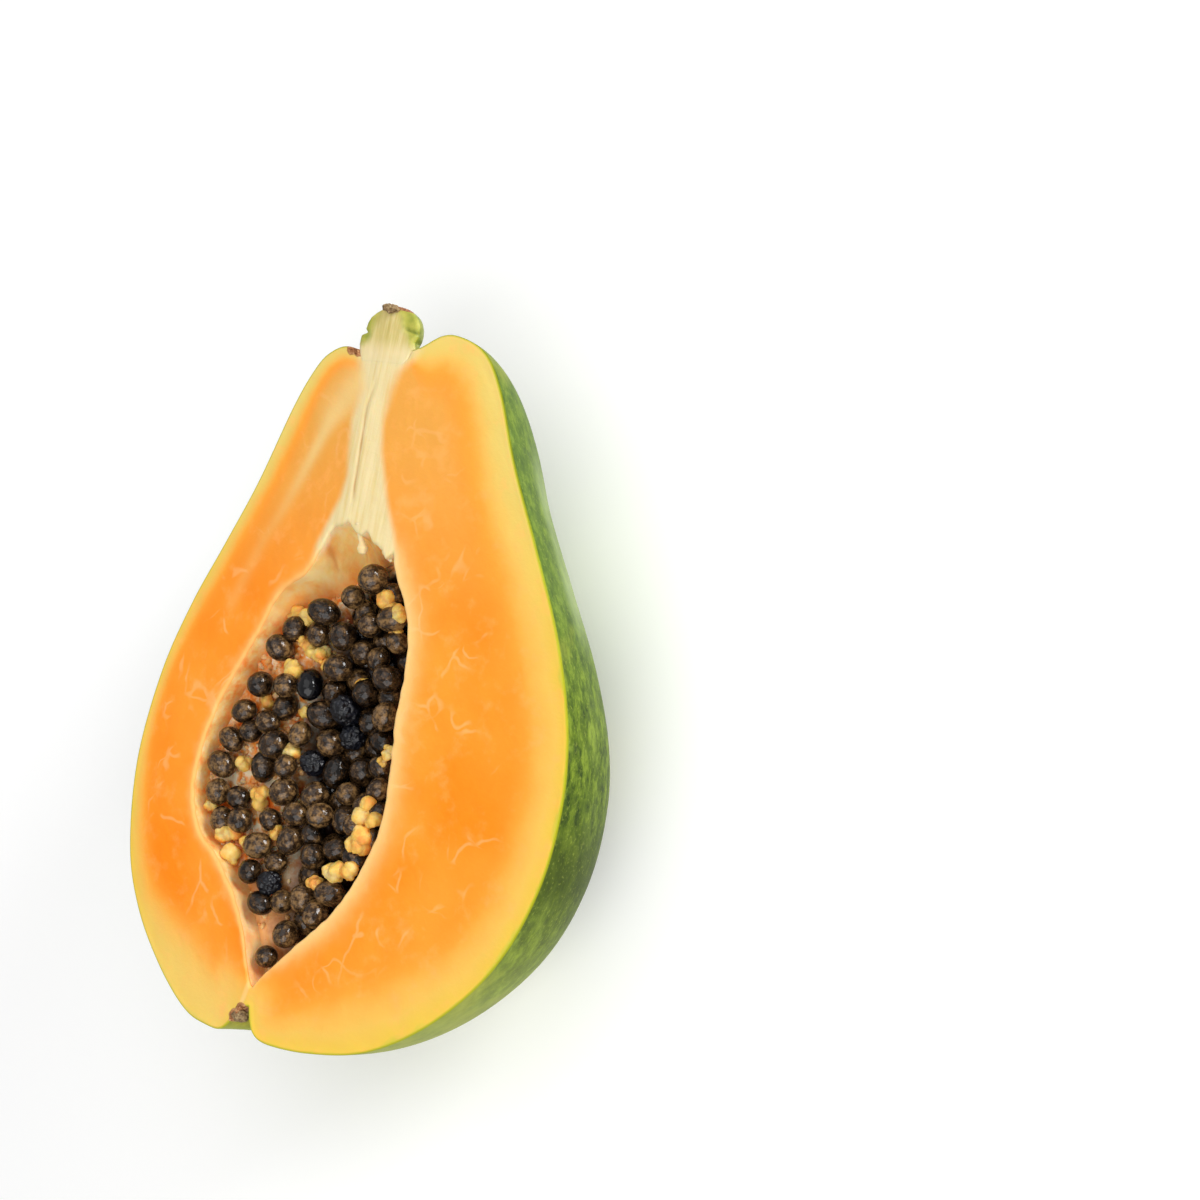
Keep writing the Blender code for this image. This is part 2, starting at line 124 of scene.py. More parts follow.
# Dark crack along the core: Y, X
CRACK = [(36.0, -1.0), (42.0, -1.0), (48.5, -1.3), (54.3, -1.7), (61.0, -2.1), (66.0, -1.1), (69.5, -0.5),
         (75.0, -0.9)]
# Pale band of the left neck, from the core out to the rim (X, Y)
PALE_BAND = [(-4.0, 67.5), (-6.6, 64.5), (-11.4, 57.2), (-14.3, 49.8), (-17.0, 43.1), (-20.0, 36.0),
             (-23.6, 29.7), (-27.0, 20.9), (-29.2, 15.1)]
# Width of the yellow rim by the angle from the stem, clockwise (degrees, mm)
RIM_WIDTHS = [
    (0, 4.0), (3, 9.0), (7, 12.0), (28, 13.5), (60, 12.5), (100, 12.0), (130, 13.0), (150, 17.0), (165, 17.0),
    (178, 11.0), (192, 8.0), (200, 13.0), (212, 14.0), (226, 8.0), (240, 5.5), (270, 3.6), (310, 5.0),
    (335, 6.0), (350, 4.0), (360, 3.0),
]

# Nicks in the edge of the hollow below the core: angle from the stem (degrees), outwards, half width
MOUTH_NICKS = [(-12.6, -3.0, 2.6), (-4.4, 2.2, 2.2), (-0.9, 1.0, 1.4), (3.3, -1.4, 1.2), (6.0, 1.1, 1.0)]

# Half-cut stem: its edges, and the cream strands between the green flesh (Y, left, right)
STEM_EDGES = [
    (68.0, -5.5, 4.2), (70.0, -6.3, 5.0), (72.0, -7.3, 6.4), (74.2, -7.9, 7.2), (75.6, -7.9, 6.6),
    (76.3, -7.8, 7.0), (76.8, -6.1, 7.2), (77.6, -7.0, 7.2), (79.0, -6.7, 7.1), (80.2, -6.1, 6.6),
    (81.2, -4.9, 5.8), (82.0, -3.4, 4.7), (82.6, -2.2, 3.4), (82.9, -1.4, 1.4),
]
STEM_CREAM = [(72.0, -7.0, 7.6), (74.0, -5.6, 6.2), (76.0, -4.4, 4.6), (79.0, -4.0, 2.4), (82.4, -2.6, 0.6)]
STEM_FOLD = (78.3, 3.6)    # a crease in the right of the stem, carved and painted darker green as shade: Y, and X where it starts
STEM_SINK = (70.8, 2.4, 1.6)    # its root dips under the flesh: up to Y, within, by
STEM_SEAT = (70.6, 2.2, 0.5)    # and the flesh dips under the stem beyond it: from Y, within, by
STEM_ROWS = 72
STEM_COLUMNS = 40
# Brown scars: at both sides of the stem and at the blossom end (X, Y, size)
SCARS = [(-9.3, 73.2, 1.5), (-7.4, 72.6, 1.2), (8.3, 75.6, 0.7), (-3.2, -68.6, 1.5), (-4.4, -70.2, 1.6)]

# Seeds and crumbs as the camera sees them on a plane SEEN_DEPTH under the cut. A seed above or
# below that plane is moved by SEEN_LEAN for each millimetre, so that it shows at the same place.
SEEN_DEPTH = 5.0
SEEN_LEAN = (0.58, -0.07)
SHOWN_SEEDS = [
    (-6.3, 11.7), (0.2, 12.3), (6.5, 15.6), (14.1, 13.0), (10.3, 8.6), (-12.0, -0.9), (-11.6, -4.7),
    (8.9, 1.3), (14.8, -2.8), (-14.7, -8.5), (-5.9, -10.1), (-18.9, -11.4), (-12.1, -13.3), (14.5, -8.0),
    (-13.8, -18.4), (-7.9, -17.2), (-18.5, -26.0), (-7.1, -22.6), (-16.8, -30.3), (-2.9, -26.6),
    (3.5, -25.7), (9.3, -20.3), (16.7, -18.0), (-9.0, -29.0), (-2.8, -32.2), (3.8, -34.6), (9.5, -32.0),
    (-10.8, -34.8), (13.0, -26.0), (-5.4, -37.8), (9.9, -41.0), (4.0, -43.7), (-2.0, -45.3),
]
WRINKLED_SEEDS = [(4.6, -3.2), (7.7, -8.5), (-1.1, -15.5), (-6.1, -42.7)]
BLACK_MARK = 16            # the marked seed that is bare and black
SEED_LIFTS = (0.9, 2.7)
SEED_SHRINK = 0.97
SEED_LENGTHS = (1.04, 1.26)
WRINKLED_LENGTHS = (1.05, 1.2)
# Tones of the seeds, darker as they rise: mean, spread, least, most
SEED_TONES = (0.15, 0.25, -0.2, 0.8)
PACKED_PAINTED_SHADE = 0.2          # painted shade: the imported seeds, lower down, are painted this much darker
DEEP_PAINTED_SHADE = 0.7            # and the deep ones this much again, as painted shade
BLACK_TONE = 1.5
LONG_TONE = 1.4            # a seed darker than this has the length of the black one
BLACK_LENGTH = 1.25
# Dents of the balls in millimetres: depth, size; the depth of the seeds' dents is on the panel
SEED_DENT_SIZE = 3.0
WRINKLES = (1.6, 0.9)
CRUMB_DENTS = (1.5, 1.4)
SETTLE_ROUNDS = 80
SETTLE_STEP = 0.25
# Crumbs: X, Y, height over the bed, size
CRUMBS = [
    (-13.1, 14.5, 0.8, 5.0), (-9.4, 15.2, 0.8, 4.4), (-4.5, 7.5, 0.6, 4.2), (-2.4, 5.6, 0.6, 3.4),
    (-10.9, 3.4, 1.4, 4.0), (9.9, 21.0, 2.4, 4.4), (13.8, 19.4, 3.0, 3.4), (12.7, 14.7, 1.4, 3.4),
    (7.5, 2.9, 1.4, 3.6), (-5.8, -5.5, 0.2, 2.6), (-2.0, -6.4, 0.2, 2.4), (-16.3, -4.6, 0.6, 3.0),
    (17.6, -9.6, 3.4, 2.8), (16.4, -12.0, 2.6, 2.6), (14.6, -22.3, 3.4, 5.2), (17.0, -24.4, 3.4, 3.4),
    (14.9, -29.2, 3.6, 5.0), (10.3, -35.9, 3.4, 4.2), (14.1, -35.1, 3.6, 4.0), (5.9, -39.1, 3.0, 3.4),
    (-20.2, -33.9, 1.6, 4.4), (-17.6, -38.7, 1.4, 4.8), (-13.1, -24.7, 1.0, 4.0), (-7.0, -14.0, 0.8, 3.8),
    (-19.3, -18.7, 0.4, 3.6), (-6.8, -31.4, 1.4, 3.2), (-14.0, -34.9, 1.4, 2.8), (-25.3, -28.8, 1.4, 3.0),
]
CRUMB_KNOTS = 4            # balls in a crumb
CRUMB_SPREAD = 0.14        # how far they are apart, as a share of its size
CRUMB_RADII = (0.33, 0.48)
CRUMB_LENGTHS = (0.8, 1.2)

BED_RAYS = 200
BED_RINGS = 56
BED_LOWER = (0.9, 2.6)     # the pulp shows this far under the part's bed: on the left, and deep inside
BED_SHADE = 5.0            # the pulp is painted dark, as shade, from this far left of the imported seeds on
# A strip of pulp on the bed, as a row of balls from one place to the other
PULP_STRIP = [(-11.6, 10.2), (-4.6, 6.2)]
PULP_BALLS = 9
STRAND_ROUGH = 0.12

# Strands of the core that hang into the hollow: name, path, widths, depth as a share of the width
CORE_STRANDS = [
    ("core_flap", [(8.6, 35.0, -1.6), (9.3, 32.6, -1.3), (9.9, 31.0, -1.3), (10.6, 29.2, -2.2)],
     (2.4, 3.2, 2.4, 0.5), 0.3),
    ("core_drip",
     [(1.6, 36.2, -1.0), (1.9, 34.4, -1.2), (2.5, 32.4, -1.7), (2.9, 31.2, -2.0), (3.0, 30.0, -2.1)],
     (2.4, 1.5, 1.3, 2.6, 1.6), 0.85),
]
# Brown lines of painted shade where the vault of the hollow folds (X, Y), from below upwards
VAULT_SHADE_LINES = [[(-7.1, 25.0), (-6.1, 33.8)], [(-2.2, 28.6), (-1.4, 32.6)]]
# Dried lumps: name, centre, size, roughness
DRIED_LUMPS = [
    ("dried_stem_end", (-0.5, 82.3, 0.2), (4.4, 1.8, 1.8), 0.5),
    ("blossom_scar", (-3.9, -70.0, -1.2), (4.6, 2.6, 2.2), 0.35),
]

FLOOR_SIZE = 6.0
WORLD_LIGHT = 0.48
# Soft lamps: name, place, width, height, power; all point at the fruit
LAMPS = [
    ("overhead softbox", (0.00, 0.40, 0.90), 0.9, 0.9, 2.5),
    ("front softbox", (0.35, -0.45, 0.72), 0.8, 0.8, 4.4),
    ("side window", (0.62, 0.60, 0.30), 0.42, 0.26, 5.6),
]
LAMP_TARGET = (0.0, 0.0, 0.04)
# Camera over the right of the fruit, the stem towards the top of its view
CAMERA_PLACE = (0.3028, -0.0044, 0.4807)
CAMERA_TARGET = (0.0553, 0.0238, 0.053)
CAMERA_UP = (-0.1374, 0.9800, 0.1440)
CAMERA_LENS = 75.0
CAMERA_SENSOR = 36.0

FRUIT_RAYS = 540
HOLLOW_RINGS = 38
FACE_RINGS = 62
SKIN_RINGS = 56
# Rings that round the lip and the edge of the skin, as parts of a quarter turn
LIP_TURNS = (0.35, 0.7, 1.0)
EDGE_TURNS = (0.4, 0.8)
FACE_END = HOLLOW_RINGS + len(LIP_TURNS) + FACE_RINGS    # the last ring of the cut
FAR = 50.0                 # a distance in millimetres beyond all that the materials look at

# How far red, green and blue light seeps under a moist surface, in metres
SEEP_RADIUS = (0.003, 0.0012, 0.0004)
SMOOTH = {"interpolation_type": "SMOOTHSTEP"}    # a range with soft ends


def linear(colour):
    """A hex colour as the screen shows it, turned to linear red, green, blue and alpha."""
    parts = [int(colour[i:i + 2], 16) / 255.0 for i in (1, 3, 5)]
    return tuple(p / 12.92 if p <= 0.04045 else ((p + 0.055) / 1.055) ** 2.4 for p in parts) + (1.0,)


def smoothstep(value):
    """0 below 0, 1 above 1, and a smooth step between."""
    t = np.clip(value, 0.0, 1.0)
    return t * t * (3.0 - 2.0 * t)


def rise(value, start, within):
    """0 up to the start, then smoothly up to 1."""
    return smoothstep((value - start) / within)


def fall(value, end, within):
    """1 at first, then smoothly down to 0 at the end."""
    return smoothstep((end - value) / within)


def closed_curve(points, steps=24):
    """Points along a closed Catmull-Rom curve through the given points."""
    p = np.array(points, float)
    t = np.linspace(0.0, 1.0, steps, endpoint=False)[:, None]
    runs = []
    for i in range(len(p)):
        a, b, c, d = p[i - 1], p[i], p[(i + 1) % len(p)], p[(i + 2) % len(p)]
        runs.append(0.5 * (2.0 * b + (c - a) * t + (2.0 * a - 5.0 * b + 4.0 * c - d) * t ** 2
                           + (3.0 * b - a - 3.0 * c + d) * t ** 3))
    return np.concatenate(runs)


def polar(points):
    """A closed curve as angle (0 to 2 pi, clockwise from +Y) and distance from the pole."""
    q = closed_curve(points) - np.array(POLE)
    angle = np.arctan2(q[:, 0], q[:, 1]) % math.tau
    order = np.argsort(angle)
    return angle[order], np.hypot(q[:, 0], q[:, 1])[order]


OUTLINE_POLAR = polar(OUTLINE)
MOUTH_POLAR = polar(MOUTH)


def reach(curve, angle):
    """Distance from the pole to a polar curve along the given angles."""
    return np.interp(angle % math.tau, curve[0], curve[1], period=math.tau)


def from_pole(angle, away):
    """The place in the plan at this angle and distance from the pole."""
    return POLE[0] + away * np.sin(angle), POLE[1] + away * np.cos(angle)


def about_pole(x, y):
    """Angle and distance from the pole of a place in the plan."""
    return np.arctan2(x - POLE[0], y - POLE[1]), np.hypot(x - POLE[0], y - POLE[1])


def dip(x, shape):
    """Depth of one end dip at X."""
    centre, depth, left, left_power, right, right_power = shape
    away = np.abs(x - centre)
    return depth * np.exp(-np.where(x < centre, (away / left) ** left_power, (away / right) ** right_power))


def outline_reach(angle, below):
    """Distance from the pole to the skin line of the cut, dips faded by the depth below it."""
    smooth = reach(OUTLINE_POLAR, angle)
    x, _ = from_pole(angle, smooth)
    dips = np.where(np.cos(angle) > 0.0, dip(x, STEM_DIP), dip(x, BLOSSOM_DIP))
    return smooth - dips * np.exp(-(below / DIP_REACH) ** 2)


def cut_height(x, y):
    """Height of the cut: level on the right of the crease, falling away on the left."""
    along = (y - CREASE_Y[0]) / (CREASE_Y[1] - CREASE_Y[0])
    crease = CREASE_X[0] + (CREASE_X[1] - CREASE_X[0]) * along
    return -math.tan(math.radians(LEFT_FALL_DEG)) * np.maximum(0.0, crease - x)


def fullness(angle):
    """How full the back is at an angle: the power of its curve."""
    towards_stem = np.cos(angle)
    ends = np.where(towards_stem > 0.0, FULLNESS_STEM, FULLNESS_BLOSSOM)
    return FULLNESS_SIDE + (ends - FULLNESS_SIDE) * np.abs(towards_stem)


def skin_point(angle, part):
    """Point of the skin: part is 1 at the edge of the cut and 0 at the pole."""
    power = fullness(angle)
    off_flat = np.clip((part - RESTING_SPOT) / (1.0 - RESTING_SPOT), 0.0, 1.0)
    drop = DEPTH * (1.0 - off_flat ** power) ** (1.0 / power)
    away = outline_reach(angle, drop)
    edge = cut_height(*from_pole(angle, away))
    return np.stack([*from_pole(angle, away * part), edge * off_flat ** 2 - drop], -1)


def wall_drop(part, angle):
    """Depth of the wall of the hollow; part is 1 at its edge and 0 at the pole."""
    towards_vault = np.maximum(0.0, np.cos(angle - math.radians(VAULT_DEG))) ** VAULT_POWER
    power = HOLLOW_FULLNESS + (VAULT_FULLNESS - HOLLOW_FULLNESS) * towards_vault
    return HOLLOW_DEPTH * (1.0 - part ** power) ** (1.0 / power)


def hollow_height(x, y):
    """Height of the wall of the hollow under a place in the plan."""
    angle, away = about_pole(x, y)
    mouth = reach(MOUTH_POLAR, angle)
    part = np.clip(away / mouth, 0.0, 1.0)
    return cut_height(*from_pole(angle, mouth)) * part ** 2 - wall_drop(part, angle)


def clear_height(x, y):
    """Height that stays clear of the wall of the hollow, upwards and sideways."""
    dx, dy = x - POLE[0], y - POLE[1]
    away = np.maximum(np.hypot(dx, dy), 1e-6)
    wider = (away + WALL_GAP) / away
    return hollow_height(POLE[0] + dx * wider, POLE[1] + dy * wider) + WALL_GAP


def bed_height(x, y):
    """Top of the bed that the showing seeds lie on."""
    angle, away = about_pole(x, y)
    part = np.clip(away / reach(MOUTH_POLAR, angle), 0.0, 1.0)
    drop = BED_EDGE_DROP + BED_SAG * (1.0 - part ** 2)
    drop = drop + BED_DIP[3] * np.exp(-((x - BED_DIP[0]) ** 2 + (y - BED_DIP[1]) ** 2) / BED_DIP[2] ** 2)
    start, end, slant, depth = BED_TOP
    return cut_height(x, y) - (drop + depth * rise(y - slant * x, start, end - start))


def ray_angles(count):
    """Angles of the rays, spread evenly along the outline with more at the two dips."""
    fine = np.linspace(0.0, math.tau, 4001)
    x, y = from_pole(fine, outline_reach(fine, 0.0))
    weight = np.where(np.cos(fine) > 0.0, dip(x, STEM_DIP) / 3.0, dip(x, BLOSSOM_DIP) / 2.0)
    steps = np.hypot(np.diff(x), np.diff(y)) * (1.0 + 0.5 * (weight[1:] + weight[:-1]))
    along = np.concatenate([[0.0], np.cumsum(steps)])
    return np.interp(np.linspace(0.0, along[-1], count, endpoint=False), along, fine)


def clear_of_wall(x, y, z, radius):
    """True for each ball that stays off the wall of the hollow."""
    turns = np.linspace(0.0, math.tau, 12, endpoint=False)
    out = np.broadcast_to(radius, x.shape)[:, None]
    around = clear_height(x[:, None] + out * np.cos(turns), y[:, None] + out * np.sin(turns))
    return (around.max(1) < z) & (clear_height(x, y) < z - radius)


def mark_spots():
    """The marked seeds on the bed, moved inwards where the wall is too close."""
    marks = np.array(MARK_SEEDS)
    radius = 0.5 * marks[:, 2]
    for _ in range(MARK_MOVES):
        x, y = marks[:, 0], marks[:, 1]
        z = bed_height(x, y) + MARK_LIFT
        tight = ~clear_of_wall(x, y, z, SEED_STRETCH * radius)
        marks[tight, :2] += MARK_MOVE * (np.array(POLE) - marks[tight, :2])
    return np.stack([x, y, z, radius], 1)


def shown_spots(rng):
    """The seeds that show between the marks, each at the height that the draw gives."""
    x, y = np.array(SHOWN_SEEDS + WRINKLED_SEEDS).T
    lift = rng.uniform(*SEED_LIFTS, len(x))
    x, y = as_seen(x, y, bed_height(x, y) + lift)
    return np.stack([x, y, bed_height(x, y) + lift, rng.uniform(*SEED_DIAMETER, len(x)) / 2.0], 1)


def as_seen(x, y, z):
    """Moves places that were seen on the plane at SEEN_DEPTH to their own height."""
    higher = z + SEEN_DEPTH
    return x + SEEN_LEAN[0] * higher, y + SEEN_LEAN[1] * higher


def settle(spots):
    """Pushes balls apart where they overlap and back from the wall of the hollow."""
    least = SEED_SPACING * (spots[:, None, 3] + spots[None, :, 3])
    apart = np.eye(len(spots)) * least.max()
    for _ in range(SETTLE_ROUNDS):
        gap = spots[:, None, :3] - spots[None, :, :3]
        away = np.linalg.norm(gap, axis=2) + apart
        lap = np.maximum(0.0, least - away)
        spots[:, :3] += SETTLE_STEP * (gap * (lap / away)[..., None]).sum(1)
        tight = ~clear_of_wall(*spots[:, :3].T, SEED_STRETCH * spots[:, 3])
        spots[tight, :2] += MARK_MOVE * (np.array(POLE) - spots[tight, :2])
        spots[:, 2] = np.minimum(spots[:, 2], bed_height(spots[:, 0], spots[:, 1]) + SEED_LIFTS[1])
    return spots


def packed_part(x, y):
    """1 where seeds lie packed, 0 at the left of the hollow where the pulp lies bare."""
    start, taper, middle, width = PACKED
    return smoothstep((x - start - taper * np.abs(y - middle)) / width)


def packed(spots, layers, rng):
    """Adds layers of balls to the spots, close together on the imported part, largest first."""
    low, high = np.min(MOUTH, 0), np.max(MOUTH, 0)
    for lift, count in layers:
        for radius in np.sort(rng.uniform(*SEED_DIAMETER, count))[::-1] / 2.0:
            x, y = rng.uniform(low, high, (SEED_TRIES, 2)).T
            z = bed_height(x, y) + lift + rng.uniform(-SEED_LIFT_SPREAD, SEED_LIFT_SPREAD, SEED_TRIES)
            tries = np.stack([x, y, z], 1)
            away = np.linalg.norm(tries[:, None] - spots[None, :, :3], axis=2)
            gaps = np.sort(away - SEED_SPACING * (radius + spots[:, 3]), 1)
            allowed = (gaps[:, 0] > 0.0) & clear_of_wall(x, y, z, SEED_STRETCH * radius)
            allowed &= packed_part(x, y) > 0.5
            if allowed.any():
                snuggest = np.argmin(np.where(allowed, gaps[:, :3].sum(1), np.inf))
                spots = np.vstack([spots, [*tries[snuggest], radius]])
    return spots


def row_shift():
    """What moves the plan to the row's frame, in millimetres: the same box, centred and standing."""
    angles = ray_angles(4000)
    x, y = from_pole(angles, outline_reach(angles, 0.0))
    low, high = (x.min(), y.min()), (x.max(), STEM_END)
    return np.array([-(low[0] + high[0]) / 2.0, -(low[1] + high[1]) / 2.0, DEPTH])


SHIFT = row_shift()


def wobble(points, size, seed=0.0):
    """Smooth noise from -1 to 1 at points in millimetres, with bumps about this size."""
    offset = Vector((seed, 2.0 * seed, 3.0 * seed))
    return np.array([noise.noise(Vector(p) / size + offset) for p in points])


def add_mesh(name, vertices, faces, **marks):
    """A smooth mesh object from points in the plan's millimetres.

    Each mark has one number, or one row of three, for each point; the materials and trees read it.
    """
    mesh = bpy.data.meshes.new(name)
    mesh.from_pydata(((np.asarray(vertices) + SHIFT) * MM).tolist(), [], faces)
    if faces:
        bm = bmesh.new()
        bm.from_mesh(mesh)
        bmesh.ops.recalc_face_normals(bm, faces=bm.faces)
        bm.to_mesh(mesh)
        bm.free()
        mesh.polygons.foreach_set("use_smooth", [True] * len(mesh.polygons))
    for label, values in marks.items():
        values = np.asarray(values, np.float32)
        triple = values.ndim == 2
        layer = mesh.attributes.new(label, "FLOAT_VECTOR" if triple else "FLOAT", "POINT")
        layer.data.foreach_set("vector" if triple else "value", values.ravel())
    mesh.update()
    piece = bpy.data.objects.new(name, mesh)
    bpy.context.scene.collection.objects.link(piece)
    return piece


def ring_faces(rings, count):
    """Faces of a closed skin through rings of points, with a fan at each end.

    The points are the first pole, then the rings, then the last pole.
    """
    k = np.arange(count)
    n = (k + 1) % count
    first = np.stack([0 * k, 1 + k, 1 + n], 1)
    quads = []
    for r in range(rings - 1):
        a, b = 1 + r * count, 1 + (r + 1) * count
        quads.append(np.stack([a + k, b + k, b + n, a + n], 1))
    end = 1 + (rings - 1) * count
    last = np.stack([end + n, end + k, 0 * k + 1 + rings * count], 1)
    return first.tolist() + np.concatenate(quads).tolist() + last.tolist()


def node(tree, kind, inputs=None, out=0, stops=None, **settings):
    """Adds a node with its settings and links, and gives back one of its outputs.

    An input is a value, or the socket that feeds it. Stops are places and hex colours on a ramp.
    """
    made = tree.nodes.new(kind)
    for name, value in settings.items():
        setattr(made, name, value)
    for key, value in (inputs or {}).items():
        if isinstance(value, bpy.types.NodeSocket):
            tree.links.new(value, made.inputs[key])
        else:
            made.inputs[key].default_value = value
    if stops:
        elements = made.color_ramp.elements
        while len(elements) < len(stops):
            elements.new(1.0)
        for element, (place, colour) in zip(elements, stops):
            element.position = place
            element.color = linear(colour) if isinstance(colour, str) else colour
    return made.outputs[out] if made.outputs else made


def new_material(name):
    """An empty material, what adds its nodes, and the surface's own coordinates."""
    material = bpy.data.materials.new(name)
    material.use_nodes = True
    material.node_tree.nodes.clear()
    add = partial(node, material.node_tree)
    return material, add, add("ShaderNodeTexCoord", out="Object")


def with_shader(material, colour, relief=None, roughness=0.5, shine=0.5, seep=0.0):
    """Ends a material: shine is its specular level, seep how much light goes under its surface."""
    values = {"Base Color": colour, "Roughness": roughness, "Specular IOR Level": shine,
              "Subsurface Weight": seep, "Subsurface Radius": SEEP_RADIUS, "Subsurface Scale": 1.0}
    if relief is not None:
        values["Normal"] = relief
    shader = node(material.node_tree, "ShaderNodeBsdfPrincipled", values)
    node(material.node_tree, "ShaderNodeOutputMaterial", {"Surface": shader})
    return material


def per_mm(size_mm):
    """Scale of a pattern whose bumps or cells are this many millimetres across."""
    return 1.0 / (size_mm * MM)


def mottled(add, place, size_mm, stops, detail=4.0, roughness=0.6):
    """A colour that changes in spots this many millimetres across."""
    spots = add("ShaderNodeTexNoise", {"Vector": place, "Scale": per_mm(size_mm), "Detail": detail,
                                       "Roughness": roughness})
    return add("ShaderNodeValToRGB", {0: spots}, stops=stops)


def patchy(add, place, size_mm, low, high, most=1.0, detail=2.0, roughness=0.5):
    """How much, from 0 to most, in soft patches this many millimetres across."""
    patches = add("ShaderNodeTexNoise", {"Vector": place, "Scale": per_mm(size_mm), "Detail": detail,
                                         "Roughness": roughness})
    return add("ShaderNodeMapRange", {0: patches, 1: low, 2: high, 4: most}, **SMOOTH)


def pitted(add, place, size_mm, depth_mm, detail=2.0):
    """Relief of fine pits, with their size and depth in millimetres."""
    pits = add("ShaderNodeTexNoise", {"Vector": place, "Scale": per_mm(size_mm), "Detail": detail})
    return add("ShaderNodeBump", {"Height": pits, "Distance": depth_mm * MM})


def near(add, value, centre, outside, inside, most=1.0):
    """How near a value comes to a centre: most inside, 0 outside."""
    off = add("ShaderNodeMath", {0: value, 1: centre}, operation="SUBTRACT")
    off = add("ShaderNodeMath", {0: off}, operation="ABSOLUTE")
    return add("ShaderNodeMapRange", {0: off, 1: outside, 2: inside, 4: most}, **SMOOTH)


def tinted(add, colour, *layers):
    """Lays tints over a colour in turn.

    A layer holds how much, as a mark's name or a socket, the tint, and a factor where it is weaker.
    """
    for amount, tint, *factors in layers:
        if isinstance(amount, str):
            amount = add("ShaderNodeAttribute", out="Fac", attribute_name=amount)
        for factor in factors:
            amount = add("ShaderNodeMath", {0: amount, 1: factor}, operation="MULTIPLY")
        tint = linear(tint) if isinstance(tint, str) else tint
        colour = add("ShaderNodeMix", {0: amount, 6: colour, 7: tint}, 2, data_type="RGBA")
    return colour


def scarred(add, place, colour, mark):
    """Lays the speckled brown of healed plant tissue over a colour, with torn edges."""
    tears = add("ShaderNodeTexNoise", {
        "Vector": place, "Scale": per_mm(1.6), "Detail": 4.0, "Roughness": 0.65})
    amount = add("ShaderNodeAttribute", out="Fac", attribute_name=mark)
    torn = add("ShaderNodeMath", {0: tears, 1: 0.9, 2: amount}, operation="MULTIPLY_ADD")
    torn = add("ShaderNodeMapRange", {0: torn, 1: 0.85, 2: 1.05}, **SMOOTH)
    rust = mottled(add, place, 0.8, [(0.34, "#4f3018"), (0.48, "#98623c"), (0.66, "#c9986a")], roughness=0.7)
    return tinted(add, colour, (torn, rust))


def fibre_noise(add, place):
    """Fine strands along the fruit, 1 mm apart; the core and the stem share them."""
    along = add("ShaderNodeMapping", {"Vector": place, "Scale": (1.0, 1.0 / 16.0, 1.0)})
    return add("ShaderNodeTexNoise", {"Vector": along, "Scale": per_mm(1.1), "Detail": 4.0, "Roughness": 0.6})


def core_stops(colours):
    """Creams of the core's strands, which the root of the stem takes up."""
    return [(0.3, "#dcc486"), (0.5, colours.core), (0.7, "#e8d5a2")]


def threads(add, place):
    """Pale vascular threads in the flesh, about 0.5 mm wide, in short stretches of a web 14 mm across."""
    push = add("ShaderNodeTexNoise", {"Vector": place, "Scale": per_mm(8.0), "Detail": 2.0}, "Color")
    push = add("ShaderNodeVectorMath", {0: push, 1: (0.5, 0.5, 0.5)}, operation="SUBTRACT")
    push = add("ShaderNodeVectorMath", {0: push, "Scale": 6.0 * MM}, operation="SCALE")
    bent = add("ShaderNodeVectorMath", {0: place, 1: push}, operation="ADD")
    loops = add("ShaderNodeTexNoise", {"Vector": bent, "Scale": per_mm(15.0), "Detail": 1.0})
    loops = near(add, loops, 0.5, 0.016, 0.003)
    web = add("ShaderNodeTexVoronoi", {"Vector": bent, "Scale": per_mm(14.0)}, feature="DISTANCE_TO_EDGE")
    web = add("ShaderNodeMapRange", {0: web, 1: 0.034, 2: 0.006}, **SMOOTH)
    both = add("ShaderNodeMath", {0: loops, 1: web}, operation="MAXIMUM")
    return add("ShaderNodeMath", {0: both, 1: patchy(add, place, 8.0, 0.5, 0.63)}, operation="MULTIPLY")


